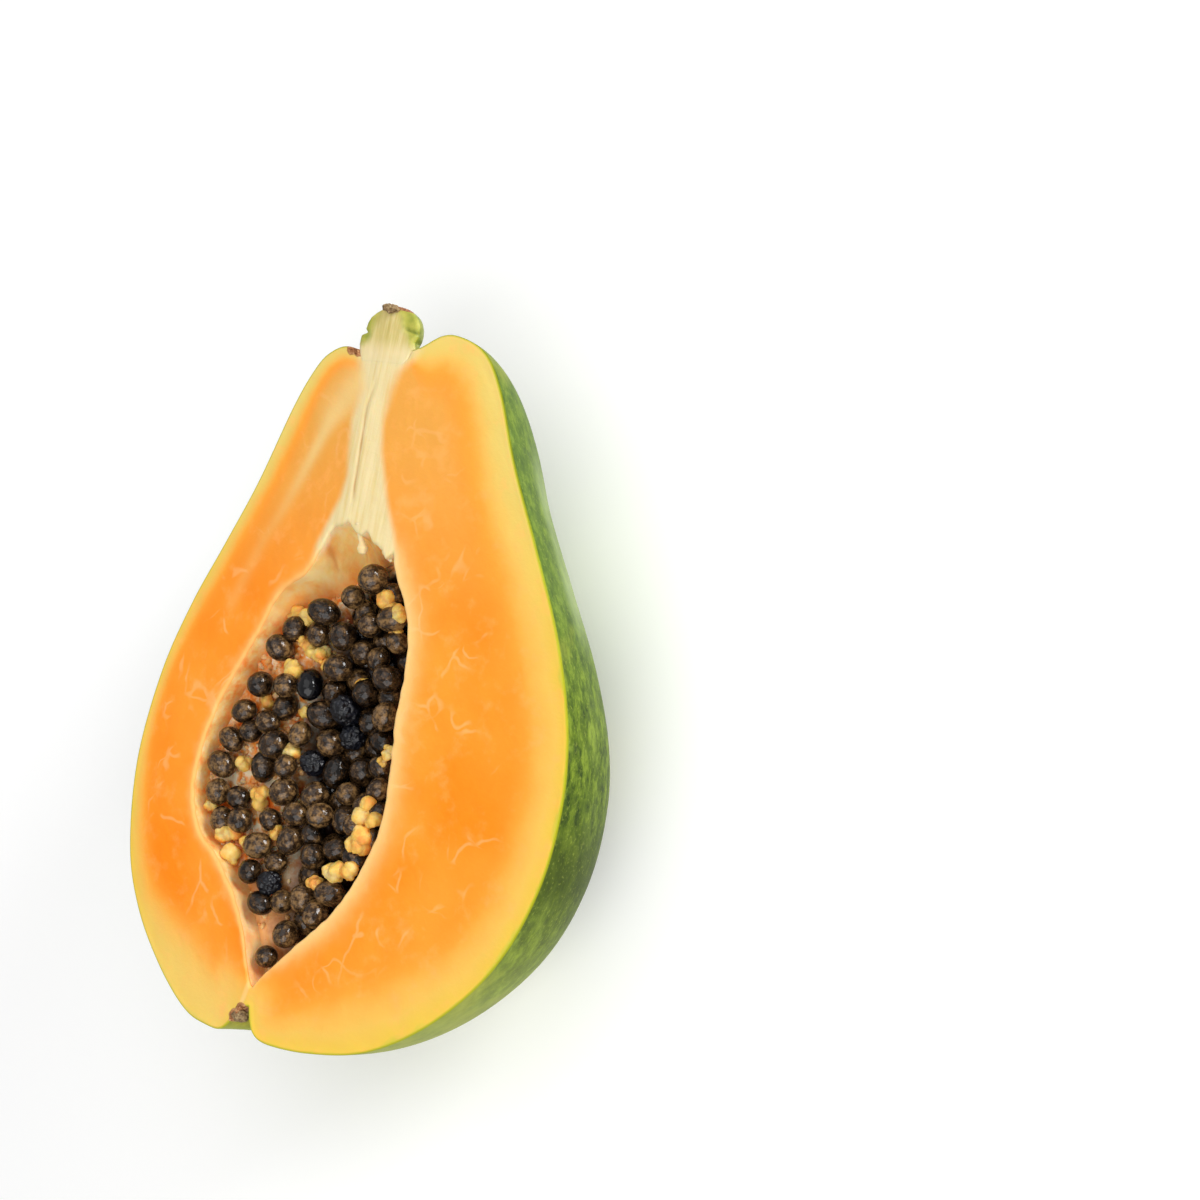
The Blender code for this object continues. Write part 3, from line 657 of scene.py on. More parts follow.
def flesh_material(colours):
    """Ripe papaya flesh, knife cut: moist and slightly see-through, so it looks soft at its edges.

    Its orange pales to yellow near the skin and to peach at the neck, with pale threads.
    """
    material, add, place = new_material("ripe papaya flesh, cut")
    rim, part, neck, core = [add("ShaderNodeAttribute", out="Fac", attribute_name=mark)
                             for mark in ("rim", "rim_part", "neck", "core")]
    orange = mottled(add, place, 22.0, [(0.35, "#f78815"), (0.65, colours.flesh)], 2.0, 0.5)
    orange = tinted(add, orange, (neck, colours.neck))
    uneven = add("ShaderNodeTexNoise", {"Vector": place, "Scale": per_mm(9.0), "Detail": 3.0})
    uneven = add("ShaderNodeMath", {0: uneven, 1: 0.5}, operation="SUBTRACT")
    wavy = add("ShaderNodeMath", {0: uneven, 1: 0.3, 2: part}, operation="MULTIPLY_ADD")
    yellow = add("ShaderNodeValToRGB", {0: wavy}, stops=[
        (0.0, "#c9bd42"), (0.06, colours.rim), (0.28, "#e8bb55"), (0.5, "#efb14e"), (0.75, "#f5a038"),
        (1.0, "#fa972e")])
    green_part = add("ShaderNodeMapRange", {0: wavy, 1: 0.7, 2: 0.05}, **SMOOTH)
    yellow = tinted(add, yellow, (neck, "#e2c76c", green_part), ("pale_lobe", "#ecc96c", 0.65))
    inward = add("ShaderNodeMapRange", {0: wavy, 1: 0.6, 2: 1.3}, **SMOOTH)
    haze = patchy(add, place, 5.0, 0.5, 0.78, 0.4, 4.0, 0.6)
    inside = add("ShaderNodeMapRange", {0: part, 1: 0.7, 2: 1.3, 4: 0.3}, **SMOOTH)
    calm = add("ShaderNodeMapRange", {0: neck, 1: 0.2, 2: 0.9, 3: 1.0, 4: 0.5})
    fibres = fibre_noise(add, place)
    cream = add("ShaderNodeValToRGB", {0: fibres}, stops=core_stops(colours))
    lime = add("ShaderNodeMapRange", {0: rim, 1: 0.6, 2: 0.1, 4: 0.8}, **SMOOTH)
    colour = tinted(
        add, yellow, (inward, orange), (haze, "#fdb265"), (threads(add, place), "#ffc98e", inside, calm),
        ("lining", colours.lining), ("band", "#e8c078"), (core, cream), ("crack", "#b5762c"),
        (lime, colours.lime))
    colour = scarred(add, place, colour, "scar")
    strands = add("ShaderNodeMath", {0: fibres, 1: core}, operation="MULTIPLY")
    relief = add("ShaderNodeBump", {
        "Height": strands, "Distance": 0.06 * MM, "Normal": pitted(add, place, 0.7, 0.04, 3.0)})
    return with_shader(material, colour, relief, 0.5, 0.12, 0.2)


def skin_material(colours):
    """Waxy papaya skin: mottled green with a dull grey bloom and yellow flecks, so it hardly shines; a pale
    painted sheen lies on it between the middle and the neck, away from the cut.
    """
    material, add, place = new_material("waxy papaya skin")
    ripe, below = [add("ShaderNodeAttribute", out="Fac", attribute_name=mark) for mark in ("ripe", "below")]
    along = add("ShaderNodeMapping", {"Vector": place, "Scale": (1.0, 0.6, 1.0)})
    streaks = add("ShaderNodeTexNoise", {
        "Vector": along, "Scale": per_mm(3.0), "Detail": 6.0, "Roughness": 0.7})
    patches = add("ShaderNodeTexNoise", {
        "Vector": place, "Scale": per_mm(22.0), "Detail": 3.0, "Roughness": 0.55})
    green, olive, sunk = [add("ShaderNodeValToRGB", {0: streaks}, stops=stops) for stops in (
        [(0.36, "#1f3205"), (0.5, colours.skin), (0.66, "#7d9128")],
        [(0.32, "#6d7410"), (0.7, colours.ripe_skin)],
        [(0.3, "#6b6410"), (0.7, "#aa9c30")])]
    ripe = add("ShaderNodeMath", {0: ripe, 1: 0.35, 2: patches}, operation="MULTIPLY_ADD")
    ripe = add("ShaderNodeMapRange", {0: ripe, 1: 0.54, 2: 0.76}, **SMOOTH)
    bloom = patchy(add, along, 11.0, 0.5, 0.72, 0.3, 5.0, 0.65)
    lime = add("ShaderNodeMapRange", {0: below, 1: 0.9, 2: 0.1, 4: 0.8}, **SMOOTH)
    colour = tinted(
        add, green, (ripe, olive), (bloom, "#7f914a"), ("shaded", "#384602", 0.8), ("upper", "#5f7a34", 0.45),
        # The pale sheen on the skin between the middle and the neck, away from the cut, is painted
        ("bloomy", "#b9c796", patches), ("lower", "#95a348", 0.5),
        (patchy(add, place, 0.8, 0.56, 0.74, 0.35), "#94a040"), ("notch", sunk), (lime, colours.lime))
    colour = scarred(add, place, colour, "scar")
    relief = add("ShaderNodeBump", {
        "Height": streaks, "Distance": 0.08 * MM, "Normal": pitted(add, place, 0.6, 0.02)})
    return with_shader(material, colour, relief, 0.45, 0.05)


def lining_material(colours):
    """Moist lining of the hollow: pale where it was cut, orange further down, and folded in the vault, with
    brown painted shade along its creases.
    """
    material, add, place = new_material("moist papaya lining")
    under, vault, tip = [add("ShaderNodeAttribute", out="Fac", attribute_name=mark)
                         for mark in ("below", "vault", "tip")]
    wall = mottled(add, place, 3.0, [(0.32, "#ff8a30"), (0.5, colours.wall), (0.66, "#ffdca0")])
    along = add("ShaderNodeMapping", {"Vector": place, "Scale": (1.0, 0.2, 0.5)})
    folds = mottled(add, along, 2.6, [(0.34, "#ffb860"), (0.5, "#ffd080"), (0.66, "#ffe09c")], 3.0, 0.5)
    red = add("ShaderNodeMath", {0: 1.0, 1: vault}, operation="SUBTRACT")
    red = add("ShaderNodeMath", {0: red, 1: tip}, operation="SUBTRACT", use_clamp=True)
    low = add("ShaderNodeMapRange", {0: under, 1: 2.5, 2: 8.0, 4: 0.6}, **SMOOTH)
    # The creases are brown painted shade along the folds of the vault
    colour = tinted(
        add, wall, (vault, folds), (low, "#ff8838", red), ("crease", "#cf7a34"), (tip, "#fbc48a", 0.6),
        ("lining", colours.lining), ("core", "#f3dcaa"))
    return with_shader(material, colour, pitted(add, place, 0.8, 0.12, 4.0), 0.45, 0.2, 0.6)


def distances(points, line):
    """Distance in the plan from each point to the nearest point of a dense line."""
    tree = kdtree.KDTree(len(line))
    for index, (x, y) in enumerate(line):
        tree.insert((x, y, 0.0), index)
    tree.balance()
    return np.array([tree.find((x, y, 0.0))[2] for x, y in points[:, :2]])


def dense(points, count=400):
    """Points spread along a polyline."""
    p = np.array(points, float)
    along = np.concatenate([[0.0], np.cumsum(np.hypot(*np.diff(p, axis=0).T))])
    at = np.linspace(0.0, along[-1], count)
    return np.stack([np.interp(at, along, p[:, 0]), np.interp(at, along, p[:, 1])], 1)


def inside_band(x, y, rows):
    """How far a place is inside a band, whose rows hold Y, left edge and right edge."""
    at, left, right = np.array(rows).T
    return np.minimum(x - np.interp(y, at, left), np.interp(y, at, right) - x)


def core_amount(x, y):
    """1 in the pale core of strands, 0 outside it, with soft sides."""
    soft = 2.4 + 2.0 * rise(y, 56.0, 10.0)
    return smoothstep((inside_band(x, y, CORE) + 0.45 * soft) / soft) * rise(y, 25.0, 6.0)


def face_relief(points):
    """How the knife left the cut: a little below level, and not quite even."""
    flat = points * (1.0, 1.0, 0.0)
    return 0.12 * wobble(flat, 6.0, 1.0) + 0.05 * wobble(flat, 1.6, 2.0) - 0.12


def fruit_rings(lip, skin_edge):
    """Rings of points from the floor of the hollow, over the lip, the cut and the edge, to the back."""
    angles = ray_angles(FRUIT_RAYS)
    mouth = reach(MOUTH_POLAR, angles)
    around = np.stack([mouth * np.sin(angles), mouth * np.cos(angles), 0 * angles], 1)
    mouth = mouth + 0.3 * wobble(around, 2.2)
    turned = (np.degrees(angles) + 180.0) % 360.0 - 180.0
    for at, out, half in MOUTH_NICKS:
        mouth = mouth + out * np.exp(-((turned - at) / half) ** 2)
    quarter = 0.5 * math.pi
    rings = []
    for step in range(1, HOLLOW_RINGS + 1):
        part = math.sin(quarter * step / HOLLOW_RINGS)
        z = cut_height(*from_pole(angles, mouth)) * part ** 2 - wall_drop(part, angles)
        rings.append(np.stack([*from_pole(angles, mouth * part), z - lip * rise(part, 0.7, 0.3)], 1))
    inner, rim = mouth + lip, outline_reach(angles, 0.0) - skin_edge
    level = [(mouth + lip * (1.0 - math.cos(quarter * turn)), lip * (1.0 - math.sin(quarter * turn)))
             for turn in LIP_TURNS]
    level += [(inner + (rim - inner) * step / FACE_RINGS, 0.0) for step in range(1, FACE_RINGS + 1)]
    level += [(rim + skin_edge * math.sin(quarter * turn), skin_edge * (1.0 - math.cos(quarter * turn)))
              for turn in EDGE_TURNS]
    for away, drop in level:
        x, y = from_pole(angles, away)
        rings.append(np.stack([x, y, cut_height(x, y) - drop], 1))
    for step in range(1, SKIN_RINGS + 1):
        turn = quarter * (step - 0.75) / (SKIN_RINGS - 0.75)
        part = RESTING_SPOT + (1.0 - RESTING_SPOT) * math.cos(turn)
        rings.append(skin_point(angles, np.full(FRUIT_RAYS, part)))
    return rings


def crack_x(y):
    """X of the crack along the core."""
    return np.interp(y, *np.array(CRACK).T)


def lining_mark(points, ring, on_face, under_cut):
    """The pale edge of the hollow, wider on the right, and the slit at its tip."""
    x, y, _ = points.T
    to_mouth = np.full(len(points), FAR)
    close = (ring >= HOLLOW_RINGS - 12) & (ring <= FACE_END)
    to_mouth[close] = distances(points[close], closed_curve(MOUTH, 60))
    to_mouth = np.where(ring <= HOLLOW_RINGS, np.hypot(to_mouth, under_cut), to_mouth)
    on_right = rise(x, -2.0, 12.0)
    width = 1.3 + 2.2 * on_right - 0.8 * rise(-y, 48.0, 8.0) + 0.5 * wobble(points, 2.2, 21.0)
    lining = (0.6 + 0.35 * on_right) * np.exp(-(to_mouth / (0.9 * width)) ** 1.6)
    slit = np.hypot(np.maximum(0.0, -y - 68.0), np.interp(y, [-68.0, -60.0], [-3.6, -1.9]) - x)
    return np.maximum(lining, 0.6 * fall(slit, 0.9, 0.7) * (y < -58.0) * on_face)


def painted_crease_shade(points):
    """Brown lines of painted shade along the folds in the vault of the hollow."""
    x, y, _ = points.T
    creases = np.zeros(len(points))
    for line in VAULT_SHADE_LINES:
        line_x, line_y = np.array(line).T
        off = (x - np.interp(y, line_y, line_x)) / (0.35 + 0.2 * wobble(points, 3.0, 31.0))
        ends = rise(y, line_y[0], 2.0) * fall(y, line_y[-1], 2.0)
        creases = np.maximum(creases, 0.6 * np.exp(-off ** 2) * ends)
    return creases


def fruit_marks(points, ring, on_face, rim):
    """What the materials of the fruit read at each of its points."""
    x, y, z = points.T
    under_cut = np.maximum(0.0, cut_height(x, y) - z)
    rim_part = rim / np.interp(np.degrees(about_pole(x, y)[0] % math.tau), *np.array(RIM_WIDTHS, float).T)
    crack_width = np.maximum(0.24 + 0.12 * wobble(points, 4.0, 3.0), 0.08)
    crack = np.exp(-((x - crack_x(y)) / crack_width) ** 2)
    crack *= rise(y, 40.0, 4.0) * fall(y, 68.0, 12.0) * (0.6 + 0.3 * wobble(points, 3.0, 13.0))
    band_width = 1.7 + 2.6 * rise(y, 52.0, 12.0)
    band = np.exp(-(distances(points, dense(PALE_BAND)) / band_width) ** 2)
    on_stem = fall(np.abs(x - STEM_X), 8.0, 1.2) * (y > 60.0)
    scars = [fall(np.hypot(x - scar_x, y - scar_y) / size, 1.9, 1.6) for scar_x, scar_y, size in SCARS]
    return {
        "rim": rim + 20.0 * on_stem,
        "rim_part": rim_part,
        "lining": lining_mark(points, ring, on_face, under_cut),
        "core": core_amount(x, y) * fall(under_cut, 3.0, 2.0),
        "crack": crack,
        "band": band * (0.25 + 0.75 * rise(y, 30.0, 26.0)),
        "neck": rise(y, 5.0, 55.0),
        "vault": rise(y - BED_TOP[2] * x, 24.0, 7.0) * (ring <= HOLLOW_RINGS + 1),
        "scar": np.maximum.reduce(scars) * fall(under_cut, 4.5, 2.0),
        "below": under_cut,
        "ripe": np.maximum(rise(-y, 40.0, 24.0), rise(y, 66.0, 10.0)),
        "notch": dip(x, BLOSSOM_DIP) / BLOSSOM_DIP[1] * rise(-y, 60.0, 6.0) * fall(under_cut, 9.0, 5.0),
        "tip": rise(-y, 38.0, 12.0),
        # crease: brown painted shade along the folds of the vault
        "crease": painted_crease_shade(points),
        "upper": rise(y, -6.0, 40.0),
        # painted sheen of the skin, away from the cut, between the middle and the neck
        "bloomy": rise(y, 14.0, 18.0) * (1.0 - rise(y, 46.0, 16.0)) * rise(under_cut, 8.0, 7.0),
        "lower": rise(-y, 28.0, 30.0),
        "shaded": np.exp(-((y + 27.0) / 11.0) ** 2),
        "pale_lobe": rise(-y, 46.0, 20.0) * rise(-x, 2.0, 8.0) * fall(rim_part, 1.5, 1.0),
    }


def carve(points, ring, on_face, rim):
    """Marks the knife, the crack and the seat of the stem into the cut, and folds into the hollow."""
    x, y, _ = points.T
    groove = 0.2 * np.exp(-((x - crack_x(y)) / 0.45) ** 2) * rise(y, 38.0, 4.0) * fall(y, 70.0, 8.0)
    off_edge = rise(rim, 0.0, 1.5) * on_face
    start, within, by = STEM_SEAT
    seat = by * rise(inside_band(x, y, STEM_EDGES), 0.1, 0.8) * rise(y, start, within) * on_face
    points[:, 2] += (face_relief(points) - groove) * np.maximum(off_edge, seat / by) - seat
    in_hollow = (ring <= HOLLOW_RINGS) & (ring > 0)
    folds = 0.9 * wobble(points * (1.0, 0.25, 0.25), 3.2, 5.0) + 0.35 * wobble(points, 1.8, 6.0)
    points[:, 2] += folds * rise(ring, 2.0, 6.0) * fall(ring, HOLLOW_RINGS, 4.0) * in_hollow


def fruit_piece(colours, sizes):
    """Skin, cut and hollow as one closed mesh with the marks that its materials need."""
    rings = fruit_rings(sizes.lip / MM, sizes.skin_edge / MM)
    points = np.concatenate([[(*POLE, -HOLLOW_DEPTH)], *rings, [(*POLE, -DEPTH)]])
    ring = np.concatenate([[0], np.repeat(np.arange(1, len(rings) + 1), FRUIT_RAYS), [len(rings) + 1]])
    on_face = (ring > HOLLOW_RINGS) & (ring <= FACE_END + len(EDGE_TURNS))
    fine = ray_angles(6000)
    rim = np.full(len(points), FAR)
    rim[on_face] = distances(points[on_face], np.stack(from_pole(fine, outline_reach(fine, 0.0)), 1))
    marks = fruit_marks(points, ring, on_face, rim)
    carve(points, ring, on_face, rim)
    piece = add_mesh("papaya_flesh_and_skin", points, ring_faces(len(rings), FRUIT_RAYS), **marks)
    for material in (flesh_material(colours), skin_material(colours), lining_material(colours)):
        piece.data.materials.append(material)
    face_ring = np.concatenate([np.zeros(FRUIT_RAYS), np.repeat(np.arange(1, len(rings)), FRUIT_RAYS),
                                np.full(FRUIT_RAYS, len(rings))])
    kind = np.where(face_ring < HOLLOW_RINGS, 2, np.where(face_ring < FACE_END + 1, 0, 1))
    piece.data.polygons.foreach_set("material_index", kind.astype(np.int32))
    return piece


def stem_material(colours):
    """Cut papaya stem: cream strands in the middle, green flesh beside them, darker green rind round its back
    and as painted shade in its fold, brown where it dried.
    """
    material, add, place = new_material("cut papaya stem")
    cloud = add("ShaderNodeTexNoise", {"Vector": place, "Scale": per_mm(2.6), "Detail": 3.0})
    fibres = fibre_noise(add, place)
    cream, pale, green, rind = [add("ShaderNodeValToRGB", {0: spots}, stops=stops) for spots, stops in (
        (fibres, [(0.3, "#bba85c"), (0.5, "#cebb74"), (0.7, "#decd94")]),
        (fibres, core_stops(colours)),
        (cloud, [(0.3, "#8c9430"), (0.55, colours.stem), (0.75, "#c4bf56")]),
        (cloud, [(0.3, "#6f7a1e"), (0.7, "#9a9f38")]))]
    colour = tinted(add, cream, ("root", pale), ("green", green), ("rind", rind))
    colour = scarred(add, place, colour, "brown")
    relief = add("ShaderNodeBump", {"Height": fibres, "Distance": 0.08 * MM})
    return with_shader(material, colour, relief, seep=0.15)


def dry_material(colours):
    """Dried plant fibre, dull and flaky: at the end of the stem and at the blossom scar."""
    material, add, place = new_material("dried brown plant fibre")
    flakes = add("ShaderNodeTexNoise", {
        "Vector": place, "Scale": per_mm(0.9), "Detail": 4.0, "Roughness": 0.7})
    colour = add("ShaderNodeValToRGB", {0: flakes}, stops=[
        (0.3, "#33251a"), (0.5, colours.dried), (0.7, "#c0a87a")])
    relief = add("ShaderNodeBump", {"Height": flakes, "Distance": 0.4 * MM})
    return with_shader(material, colour, relief, 0.8)


def strand_material():
    """Soft pale strings of the core that hang into the hollow, see-through at their thin ends."""
    material, add, place = new_material("pale papaya strand")
    fibres = fibre_noise(add, place)
    colour = add("ShaderNodeValToRGB", {0: fibres}, stops=[(0.3, "#eccb8c"), (0.7, "#f3dfb0")])
    relief = add("ShaderNodeBump", {"Height": fibres, "Distance": 0.1 * MM})
    return with_shader(material, colour, relief, 0.4, seep=0.3)


def bed_material(colours):
    """Wet pulp under the seeds: peach and orange where it lies bare; painted near black as shade deep between
    the seeds, and painted browner as shade low in the hollow.
    """
    material, add, place = new_material("wet papaya pulp")
    cloud = add("ShaderNodeTexNoise", {
        "Vector": place, "Scale": per_mm(3.2), "Detail": 4.0, "Roughness": 0.6})
    # The deep ramp is painted shade between the seeds, the brown one painted shade on the low pulp
    bare, brown, deep = [add("ShaderNodeValToRGB", {0: cloud}, stops=stops) for stops in (
        [(0.34, "#e2620f"), (0.44, "#f8963a"), (0.52, colours.pulp), (0.6, "#fff0cc")],
        [(0.3, "#cc7430"), (0.6, "#f0b06e")],
        [(0.3, "#0c0605"), (0.7, "#2c140a")])]
    colour = tinted(add, bare, ("low", brown), ("deep", deep))
    relief = add("ShaderNodeBump", {"Height": cloud, "Distance": 0.5 * MM})
    return with_shader(material, colour, relief, 0.3, seep=0.15)


def seed_material(name, dark, mid, light, roughness, dent_mm):
    """Seed in its thin film: mottled brown or black, often with a darker ring where the film is thick; lower
    seeds are painted darker, towards black, as shade.
    """
    material, add, place = new_material(name)
    local = add("ShaderNodeAttribute", out="Vector", attribute_name="local")
    mottle = add("ShaderNodeTexNoise", {
        "Vector": place, "Scale": per_mm(1.5), "Detail": 4.0, "Roughness": 0.65})
    specks = add("ShaderNodeTexNoise", {"Vector": place, "Scale": per_mm(0.45), "Detail": 2.0})
    both = add("ShaderNodeMath", {0: specks, 1: 0.35, 2: mottle}, operation="MULTIPLY_ADD")
    tone = add("ShaderNodeAttribute", out="Fac", attribute_name="tone")
    # Higher tones darken the seed: random tone, and for the lower seeds painted shade
    both = add("ShaderNodeMath", {0: tone, 1: -0.22, 2: both}, operation="MULTIPLY_ADD")
    colour = add("ShaderNodeValToRGB", {0: both}, stops=[(0.46, dark), (0.64, mid), (0.84, light)])
    across = add("ShaderNodeSeparateXYZ", {0: local}, "X")
    wavy = add("ShaderNodeMath", {0: mottle, 1: 0.5, 2: across}, operation="MULTIPLY_ADD")
    # From 0.9 on the seed turns black: the bare black seed, and the deepest seeds as painted shade
    black = add("ShaderNodeMapRange", {0: tone, 1: 0.9, 2: 1.5})
    colour = tinted(add, colour, (near(add, wavy, 0.25, 0.16, 0.04, 0.7), dark), (black, "#07070b"))
    return with_shader(material, colour, pitted(add, place, 1.1, dent_mm), roughness, 0.38)


def crumb_material(name, dark, mid, light):
    """Crumbs and grains of pulp, creamy and slightly see-through, with a sugary surface."""
    material, add, place = new_material(name)
    colour = mottled(add, place, 4.0, [(0.36, dark), (0.5, mid), (0.68, light)])
    return with_shader(material, colour, pitted(add, place, 0.5, 0.12, 3.0), 0.55, seep=0.35)


def stem_piece(colours):
    """Half-cut stem: a flat cut face over half a round, with notches at its edges."""
    edges = np.array(STEM_EDGES)
    ys = np.linspace(edges[0, 0] + 1.0, edges[-1, 0], STEM_ROWS)
    sides = np.stack([np.interp(ys, edges[:, 0], edges[:, k]) for k in (1, 2)], 1)
    sides[1:-1] = 0.25 * sides[:-2] + 0.5 * sides[1:-1] + 0.25 * sides[2:]
    start, within, by = STEM_SINK
    rows = []
    for y, (left, right) in zip(ys, sides):
        middle, half = 0.5 * (left + right), 0.5 * (right - left)
        sink = by * float(fall(y, start, within))
        x = middle + half * np.linspace(-1.0, 1.0, STEM_COLUMNS)
        round_off = 0.5 * smoothstep((np.abs(x - middle) - half + 0.8) / 0.8) ** 2
        top = np.stack([x, 0 * x + y, cut_height(x, 0 * x + y) - sink - round_off], 1)
        turn = np.linspace(0.0, math.pi, STEM_COLUMNS + 2)[1:-1]
        x = middle + half * np.cos(turn)
        z = cut_height(x, 0 * x + y) - 0.4 - sink - half * np.sin(turn)
        rows.append(np.concatenate([top, np.stack([x, 0 * x + y, z], 1)]))
    count = 2 * STEM_COLUMNS
    points = np.concatenate([[rows[0].mean(0)], *rows, [rows[-1].mean(0)]])
    face = np.concatenate([[0], np.tile(np.arange(count) < STEM_COLUMNS, STEM_ROWS), [0]]).astype(float)
    x, y = points[:, 0], points[:, 1]
    outside = 0.6 * wobble(points * (1.0, 0.4, 1.0), 1.2, 8.0) - inside_band(x, y, STEM_CREAM)
    green = rise(outside, -1.0, 3.0) * rise(y, 72.8, 2.6)
    tuft = smoothstep(1.5 - np.hypot(x + 0.6, (y - 82.8) * 1.3) / 1.8)
    line = rise(y + 0.12 * (x - 1.0), 82.0, 0.5) * rise(x, 0.4, 0.6) * (x < 5.0)
    brown = np.maximum.reduce([tuft, line, 0.7 * rise(y, 81.4, 1.0) * (1.0 - face)])
    fold_y, fold_x = STEM_FOLD
    fold = np.exp(-((y - fold_y + 0.25 * (x - fold_x)) / 0.35) ** 2) * rise(x, fold_x, 1.0)
    points[:, 2] += face_relief(points) * face + 0.3 * wobble(points, 2.4, 10.0) * (1.0 - face)
    points[:, 2] -= 0.4 * fold * face
    # The fold takes the darker green of the rind as painted shade
    piece = add_mesh("stem_stub", points, ring_faces(STEM_ROWS, count), green=green,
                     root=fall(y, 76.4, 4.0), brown=brown, rind=np.maximum(1.0 - face, 0.8 * fold))
    piece.data.materials.append(stem_material(colours))
    return piece


def strand(path, widths, flat, sides=16, steps=30):
    """Points and faces of an oval strand along a path; flat is its depth as a share of its width."""
    path, widths = np.array(path, float), np.array(widths, float)
    knots = np.linspace(0.0, 1.0, len(path))
    t = np.linspace(0.0, 1.0, steps)
    centre = np.stack([np.interp(t, knots, path[:, k]) for k in range(3)], 1)
    for _ in range(3):
        centre[1:-1] = 0.25 * centre[:-2] + 0.5 * centre[1:-1] + 0.25 * centre[2:]
    wide = np.interp(t, np.linspace(0.0, 1.0, len(widths)), widths) / 2.0
    along = np.gradient(centre, axis=0)
    along /= np.linalg.norm(along, axis=1)[:, None]
    across = np.cross(along, (0.0, 0.0, 1.0))
    across /= np.linalg.norm(across, axis=1)[:, None]
    deep = np.cross(across, along)
    turn = np.linspace(0.0, math.tau, sides, endpoint=False)
    rings = (centre[:, None] + wide[:, None, None] * (np.cos(turn)[None, :, None] * across[:, None]
                                                      + flat * np.sin(turn)[None, :, None] * deep[:, None]))
    points = np.concatenate([[centre[0]], rings.reshape(-1, 3), [centre[-1]]])
    return points, ring_faces(steps, sides)


def strand_piece(name, path, widths, flat):
    """One soft strand with a slightly uneven surface."""
    points, faces = strand(path, widths, flat)
    points += STRAND_ROUGH * np.stack([wobble(points, 1.2, k) for k in (1.0, 2.0, 3.0)], 1)
    piece = add_mesh(name, points, faces)
    piece.data.materials.append(strand_material())
    return piece


def lump(name, centre, size, rough_mm, material):
    """A rough lump: a ball stretched to size (mm) with noise pushed out along its normals."""
    bm = bmesh.new()
    bmesh.ops.create_icosphere(bm, subdivisions=5, radius=1.0)
    unit = np.array([v.co[:] for v in bm.verts])
    faces = [[v.index for v in face.verts] for face in bm.faces]
    bm.free()
    points = np.array(centre) + unit * np.array(size) / 2.0
    points += unit * (rough_mm * wobble(points, 0.8, 4.0))[:, None]
    piece = add_mesh(name, points, faces)
    piece.data.materials.append(material)
    return piece


def bed_piece(colours):
    """Wet pulp under the seeds: it follows the wall of the hollow below and is lumpy on top."""
    angles = np.linspace(0.0, math.tau, BED_RAYS, endpoint=False)
    mouth = reach(MOUTH_POLAR, angles)
    parts = np.linspace(0.0, 1.0, 400)
    edge = np.zeros(BED_RAYS)
    for k, angle in enumerate(angles):
        x, y = from_pole(angle, mouth[k] * parts)
        room = bed_height(x, y) - BED_LOWER[0] - hollow_height(x, y)
        edge[k] = parts[np.argmax(room <= 0.0)] * mouth[k] + 0.6
    top, under = [], []
    for step in range(1, BED_RINGS + 1):
        away = edge * math.sin(0.5 * math.pi * step / BED_RINGS)
        x, y = from_pole(angles, away)
        top.append(np.stack([x, y, bed_height(x, y)], 1))
        under.append(np.stack([x, y, np.minimum(hollow_height(x, y) + 0.2, top[-1][:, 2] - 1.0)], 1))
    rings = top + under[-2::-3]
    points = np.concatenate([[(*POLE, float(bed_height(*POLE)))], *rings, [(*POLE, 0.2 - HOLLOW_DEPTH)]])
    x, y = points[:, 0], points[:, 1]
    above = np.arange(len(points)) <= len(top) * BED_RAYS
    # deep: where the pulp is lowered and painted near black as shade, less so by the right wall
    deep = packed_part(x + BED_SHADE, y)
    angle, away = about_pole(x, y)
    to_wall = reach(MOUTH_POLAR, angle) - away
    deep *= 1.0 - 0.8 * fall(to_wall, 4.6, 2.6) * rise(x, 4.0, 4.0)
    # low: the low pulp, painted browner as shade, with fewer grains
    low = rise(-y, 36.0, 8.0) * (1.0 - rise(x, 4.0, 8.0))
    lowered = BED_LOWER[0] + (BED_LOWER[1] - BED_LOWER[0]) * deep
    lumps = 0.9 * wobble(points, 4.5, 11.0) + 0.45 * wobble(points, 1.7, 12.0)
    points[:, 2] += above * (lumps - lowered)
    piece = add_mesh("pulp_bed", points, ring_faces(len(rings), BED_RAYS), deep=deep, low=low,
                     bare=above * (1.0 - deep) * (1.0 - 0.8 * low))
    piece.data.materials.append(bed_material(colours))
    return piece


def group_tree(name, sockets):
    """A geometry node tree with named inputs, what adds its nodes, and its inputs by name."""
    tree = bpy.data.node_groups.new(name, "GeometryNodeTree")
    tree.interface.new_socket("Geometry", in_out="INPUT", socket_type="NodeSocketGeometry")
    for label, kind in sockets:
        tree.interface.new_socket(label, in_out="INPUT", socket_type=kind)
    tree.interface.new_socket("Geometry", in_out="OUTPUT", socket_type="NodeSocketGeometry")
    start = tree.nodes.new("NodeGroupInput")
    return tree, partial(node, tree), start.outputs


def end_tree(add, geometry, material):
    """Ends a tree: smooth shading, then the material."""
    smooth = add("GeometryNodeSetShadeSmooth", {"Geometry": geometry})
    painted = add("GeometryNodeSetMaterial", {"Geometry": smooth, "Material": material})
    add("NodeGroupOutput", {"Geometry": painted})


